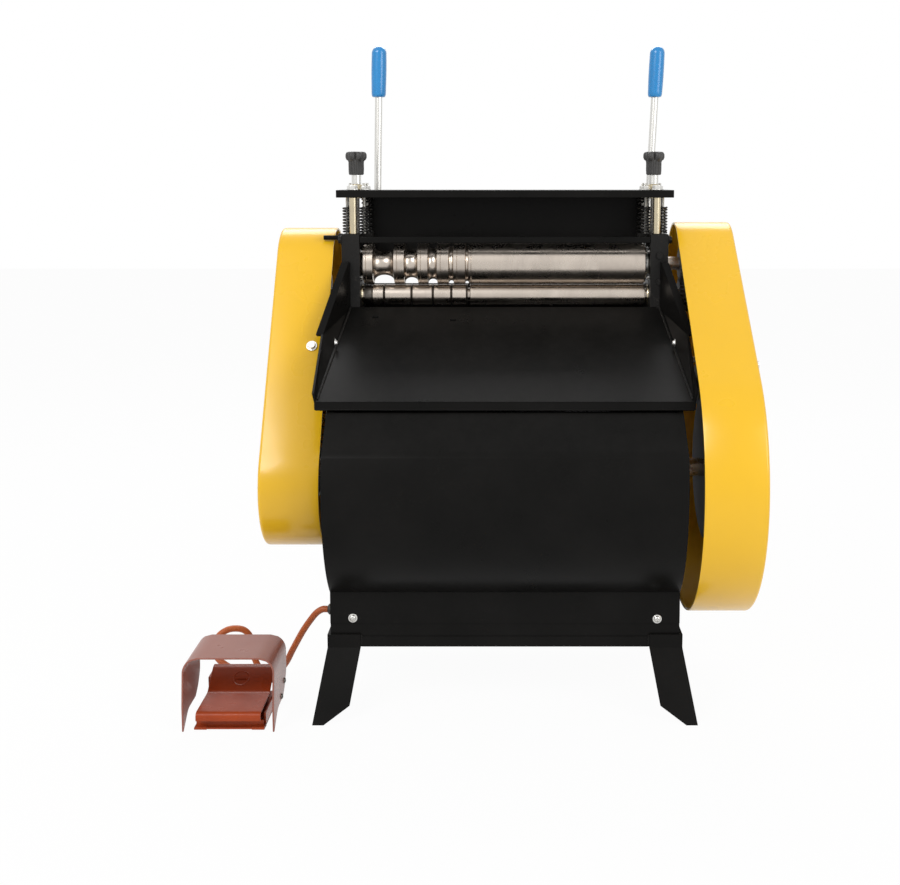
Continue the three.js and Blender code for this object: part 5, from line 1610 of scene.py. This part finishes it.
@dataclass
class LiftLevers:
    """The two lift levers: hub, leaning rod and dipped grip."""

    pivot: tuple[float, float] = (206.0, 668.0)
    top: float = 995.0
    places: dict[Side, tuple[float, float]] = field(default_factory=lambda: {
        Side.LEFT: (-214.5, 0.022), Side.RIGHT: (237.0, 0.045)})
    grip_length: float = 83.0
    hub: tuple[tuple[float, float], ...] = ((-7, 5.4), (-7, 11), (-6, 12), (6, 12), (7, 11), (7, 5.4))
    ear_gap: float = 7.3
    ear_bolts: tuple[float, float] = (-16.0, 16.0)
    ear_face: tuple[float, float] = (191.4, 194.6)

    def leaned(self, patch: Patch, lean: float) -> Patch:
        """Leans a patch sideways: x grows by the lean times the height over the pivot."""
        patch.points[..., 0] += lean * (patch.points[..., 2] - self.pivot[1])
        return patch

    def build(self) -> None:
        """Makes both levers and the pins and retaining rings of their hubs."""
        y, z = self.pivot
        for side, (x, lean) in self.places.items():
            rod = turned([(z + 4, 0), (z + 4, 6.0), (self.top - 13.4, 6.0), (self.top - 13.0, 5.2),
                          (self.top - 13.0, 0)], (x, y, 0), Axis.Z, 40)
            hub = turned([(x + w, r) for w, r in self.hub], (0, y, z), Axis.X, 56, closed=True)
            height = np.linspace(0, 6, 7)
            fillet = zip(z + 10.8 + height, 8.6 - 2.6 * (height / 6) ** 0.7)
            weld = turned([(z + 10.8, 0), *fillet, (z + 17, 0)], (x, y, 0), Axis.Z, 40)
            mesh_piece(f"{side.word}_rod", [self.leaned(rod, lean), hub, self.leaned(weld, lean)],
                       f"{side.word}_lift_lever", ZINC_PLATE, [f"{side.word}_lever"])
            low = self.top - self.grip_length
            dome = np.radians(np.linspace(0, 90, 12))
            swell = np.linspace(0, 1, 24)
            profile = [(low + 1, 6.2), (low, 7.2), (low + 0.2, 9.6), (low + 1.5, 10.9), (low + 4, 11.6)]
            profile += list(zip(low + 6 + swell * (self.grip_length - 19), 11.8 + 0.7 * np.sin(swell * 2.6)))
            profile += list(zip(self.top - 12 + 12 * np.sin(dome), 12.2 * np.cos(dome)))
            grip = turned(profile, (x, y, 0), Axis.Z, 64)
            mesh_piece(f"{side.word}_grip", [self.leaned(grip, lean)], f"{side.word}_lift_lever", BLUE_VINYL,
                       [f"{side.word}_lever_grip"], 60)
            s = side.sign
            ear = abs(x) + self.ear_gap
            ring = [washer((0, y, z), Axis.X, 4.6, 9.0, s * (ear + 6.1), s * (ear + 7.2)),
                    hexagon((0, y, z), Axis.X, 13, s * (ear + 7.2), s * (ear + 12.0))]
            bolts = [hexagon((s * (ear + 3), 0, z + dz), Axis.Y, 8, *self.ear_face) for dz in self.ear_bolts]
            mesh_piece(f"{side.word}_pivot_bolt", ring + bolts, "machine", ZINC_PLATE)


@dataclass
class Stand:
    """The welds, a front strap and the bolts of the stand."""

    half: float = 255.0
    front: float = -126.0
    rear: float = 170.0
    rail: tuple[float, float] = (97.0, 147.0)
    front_nuts: tuple[tuple[float, float], ...] = ((-222, 136), (222, 134))
    side_nuts: tuple[float, float] = (-60, 104)
    bead_steps: int = 48
    bead_ripples: int = 11
    bead_swell: float = 0.16

    def bead(self, start: Sequence[float], stop: Sequence[float], radius: float = 2.2) -> Patch:
        """A weld bead: a straight tube whose radius ripples along its length."""
        share = np.linspace(0, 1, self.bead_steps)
        path = np.asarray(start, float) * (1 - share[:, None]) + np.asarray(stop, float) * share[:, None]
        ripple = 1 + self.bead_swell * np.sin(share * TURN * self.bead_ripples)
        ripple[[0, -1]] *= 0.3
        return tube(path, radius * ripple, 12)

    def build(self) -> None:
        """Makes the welds between rails and legs, and the nuts on the rails."""
        beads = []
        for s in (-1, 1):
            for y, back in ((self.front, 1), (self.rear, -1)):
                face = y - back * 0.4
                x = s * (self.half - 44.6)
                beads.append(self.bead((x, face, 99), (x, face, 115)))
                beads.append(self.bead((s * (self.half - 3), y + back * 4.6, 97.4),
                                       (s * (self.half - 43), y + back * 4.6, 97.4), 1.8))
                beads.append(self.bead((s * (self.half - 0.2), y + back * 50.2, 101),
                                       (s * (self.half - 0.2), y + back * 50.2, 142), 1.5))
        mesh_piece("stand_welds", beads, "machine", ROUGH_ENAMEL)
        strap = slab((-self.half + 46, self.front - 1.4, 97.2), (self.half - 46, self.front, 113.0))
        round_edges(mesh_piece("rail_strap", [strap], "machine", BLACK_ENAMEL), 0.5)
        nuts = []
        for x, z in self.front_nuts:
            nuts.append(hexagon((x, 0, z), Axis.Y, 8, self.front + 4.1, self.front + 7.6))
        for s in (-1, 1):
            for y in self.side_nuts:
                nuts.append(hexagon((s * (self.half - 27), y, 0), Axis.Z, 13, self.rail[1] - 4.2,
                                    self.rail[1] - 10))
        mesh_piece("rail_nuts", nuts, "machine", ZINC_PLATE)


@dataclass
class MotorTrim:
    """The terminal box and the fan cover of the motor inside the drum."""

    axis: tuple[float, float] = (84.0, 452.0)
    cover_sides: int = 96
    slot_count: int = 16
    slot_depth: float = 1.2
    cover_rows: tuple[tuple[float, float], ...] = (
        (9.5, 0), (-26, 0), (-26, 20), (-26, 24), (-26, 46), (-24, 52), (-16, 56), (9.5, 56))
    box_x: tuple[float, float] = (90.0, 160.0)
    box_y: tuple[float, float] = (-104.0, -60.0)
    box_half: float = 26.0

    def build(self) -> None:
        """Makes the fan cover with its slots, and the terminal box on the motor's side."""
        y, z = self.axis
        angle = np.arange(self.cover_sides) * TURN / self.cover_sides
        slots = np.where(np.cos(angle * self.slot_count) > 0.1, self.slot_depth, 0.0)
        along, radius = (np.array(row, float)[:, None] + 0 * angle for row in zip(*self.cover_rows))
        along[3:5] += slots
        radius[-2:] -= slots * 0.6
        cover = Patch(laid(Axis.X, y + radius * np.cos(angle), z + radius * np.sin(angle), along))
        mesh_piece("fan_cover", [cover], "machine", BLACK_ENAMEL)
        low, high = ((bx, y + by, z + bz) for bx, by, bz in zip(self.box_x, self.box_y,
                                                                (-self.box_half, self.box_half)))
        box = mesh_piece("terminal_box", [slab(low, high)], "machine", CAST_IRON)
        round_edges(box, 3, 3)


NODE_FINISHES: dict[str, Finish] = {
    "rail": BLACK_ENAMEL, "leg": BLACK_ENAMEL, "side_plate": BLACK_ENAMEL, "drum_cover": BLACK_ENAMEL,
    "rear_cover": BLACK_ENAMEL, "post": ROUGH_ENAMEL, "tie_bar": BLACK_ENAMEL, "top_plate": BLACK_ENAMEL,
    "rear_guard": BLACK_ENAMEL, "motor_shelf": BLACK_ENAMEL, "feed_tray": BLACK_ENAMEL,
    "lever_bracket": ROUGH_ENAMEL, "guard_stud": ZINC_PLATE, "guard": YELLOW_ENAMEL, "bush": YELLOW_ZINC,
    "guide_column": YELLOW_ZINC, "adjusting_screw": ZINC_PLATE, "lever": ZINC_PLATE, "lever_grip": BLUE_VINYL,
    "bearing_block": DARK_STEEL, "upper_roller": TURNED_STEEL, "shaft": TURNED_STEEL,
    "feed_sleeve": TURNED_STEEL, "cutter_stack": TURNED_STEEL, "countershaft": TURNED_STEEL,
    "drive_chain": DARK_STEEL,
    "return_spring": SPRING_STEEL, "gear": CAST_IRON, "motor": CAST_IRON, "pulley": CAST_IRON,
    "sprocket": CAST_IRON, "star_knob": KNOB_PLASTIC, "gland": KNOB_PLASTIC, "drive_belt": BELT_RUBBER,
    # switch_hood takes the orange enamel's lighter copy, with a painted sheen in its colour.
    "switch_hood": HOOD_ENAMEL_PAINTED_SHEEN, "switch_base": ORANGE_ENAMEL, "foot_pedal": ORANGE_ENAMEL,
    "cable": CABLE_SHEATH,
}


def dress_nodes(nodes: dict[str, bpy.types.Object]) -> None:
    """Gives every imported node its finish, by the longest ending of its name that a finish is listed for.

    Args:
        nodes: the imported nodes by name.
    """
    for name, node in nodes.items():
        endings = [key for key in NODE_FINISHES if name.endswith(key)]
        if not endings:
            raise ValueError(f"no finish is listed for {name}")
        finish = NODE_FINISHES[max(endings, key=len)]
        node.data.materials.clear()
        node.data.materials.append(finish.material())
        log.info("%s is finished in %s", name, finish.label)


def main() -> None:
    logging.basicConfig(level=logging.INFO, format="%(name)s: %(message)s")
    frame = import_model()
    Studio().build()
    SwitchCable().build()
    dress_nodes(frame["nodes"])
    for part in (FootSwitch(), Stand(), Drum(), Guards(), FeedTray(), Head(), Adjuster(), Rollers(), Drive(),
                 LiftLevers(), MotorTrim()):
        log.info("building %s", type(part).__name__)
        part.build()


if __name__ == "__main__":
    main()
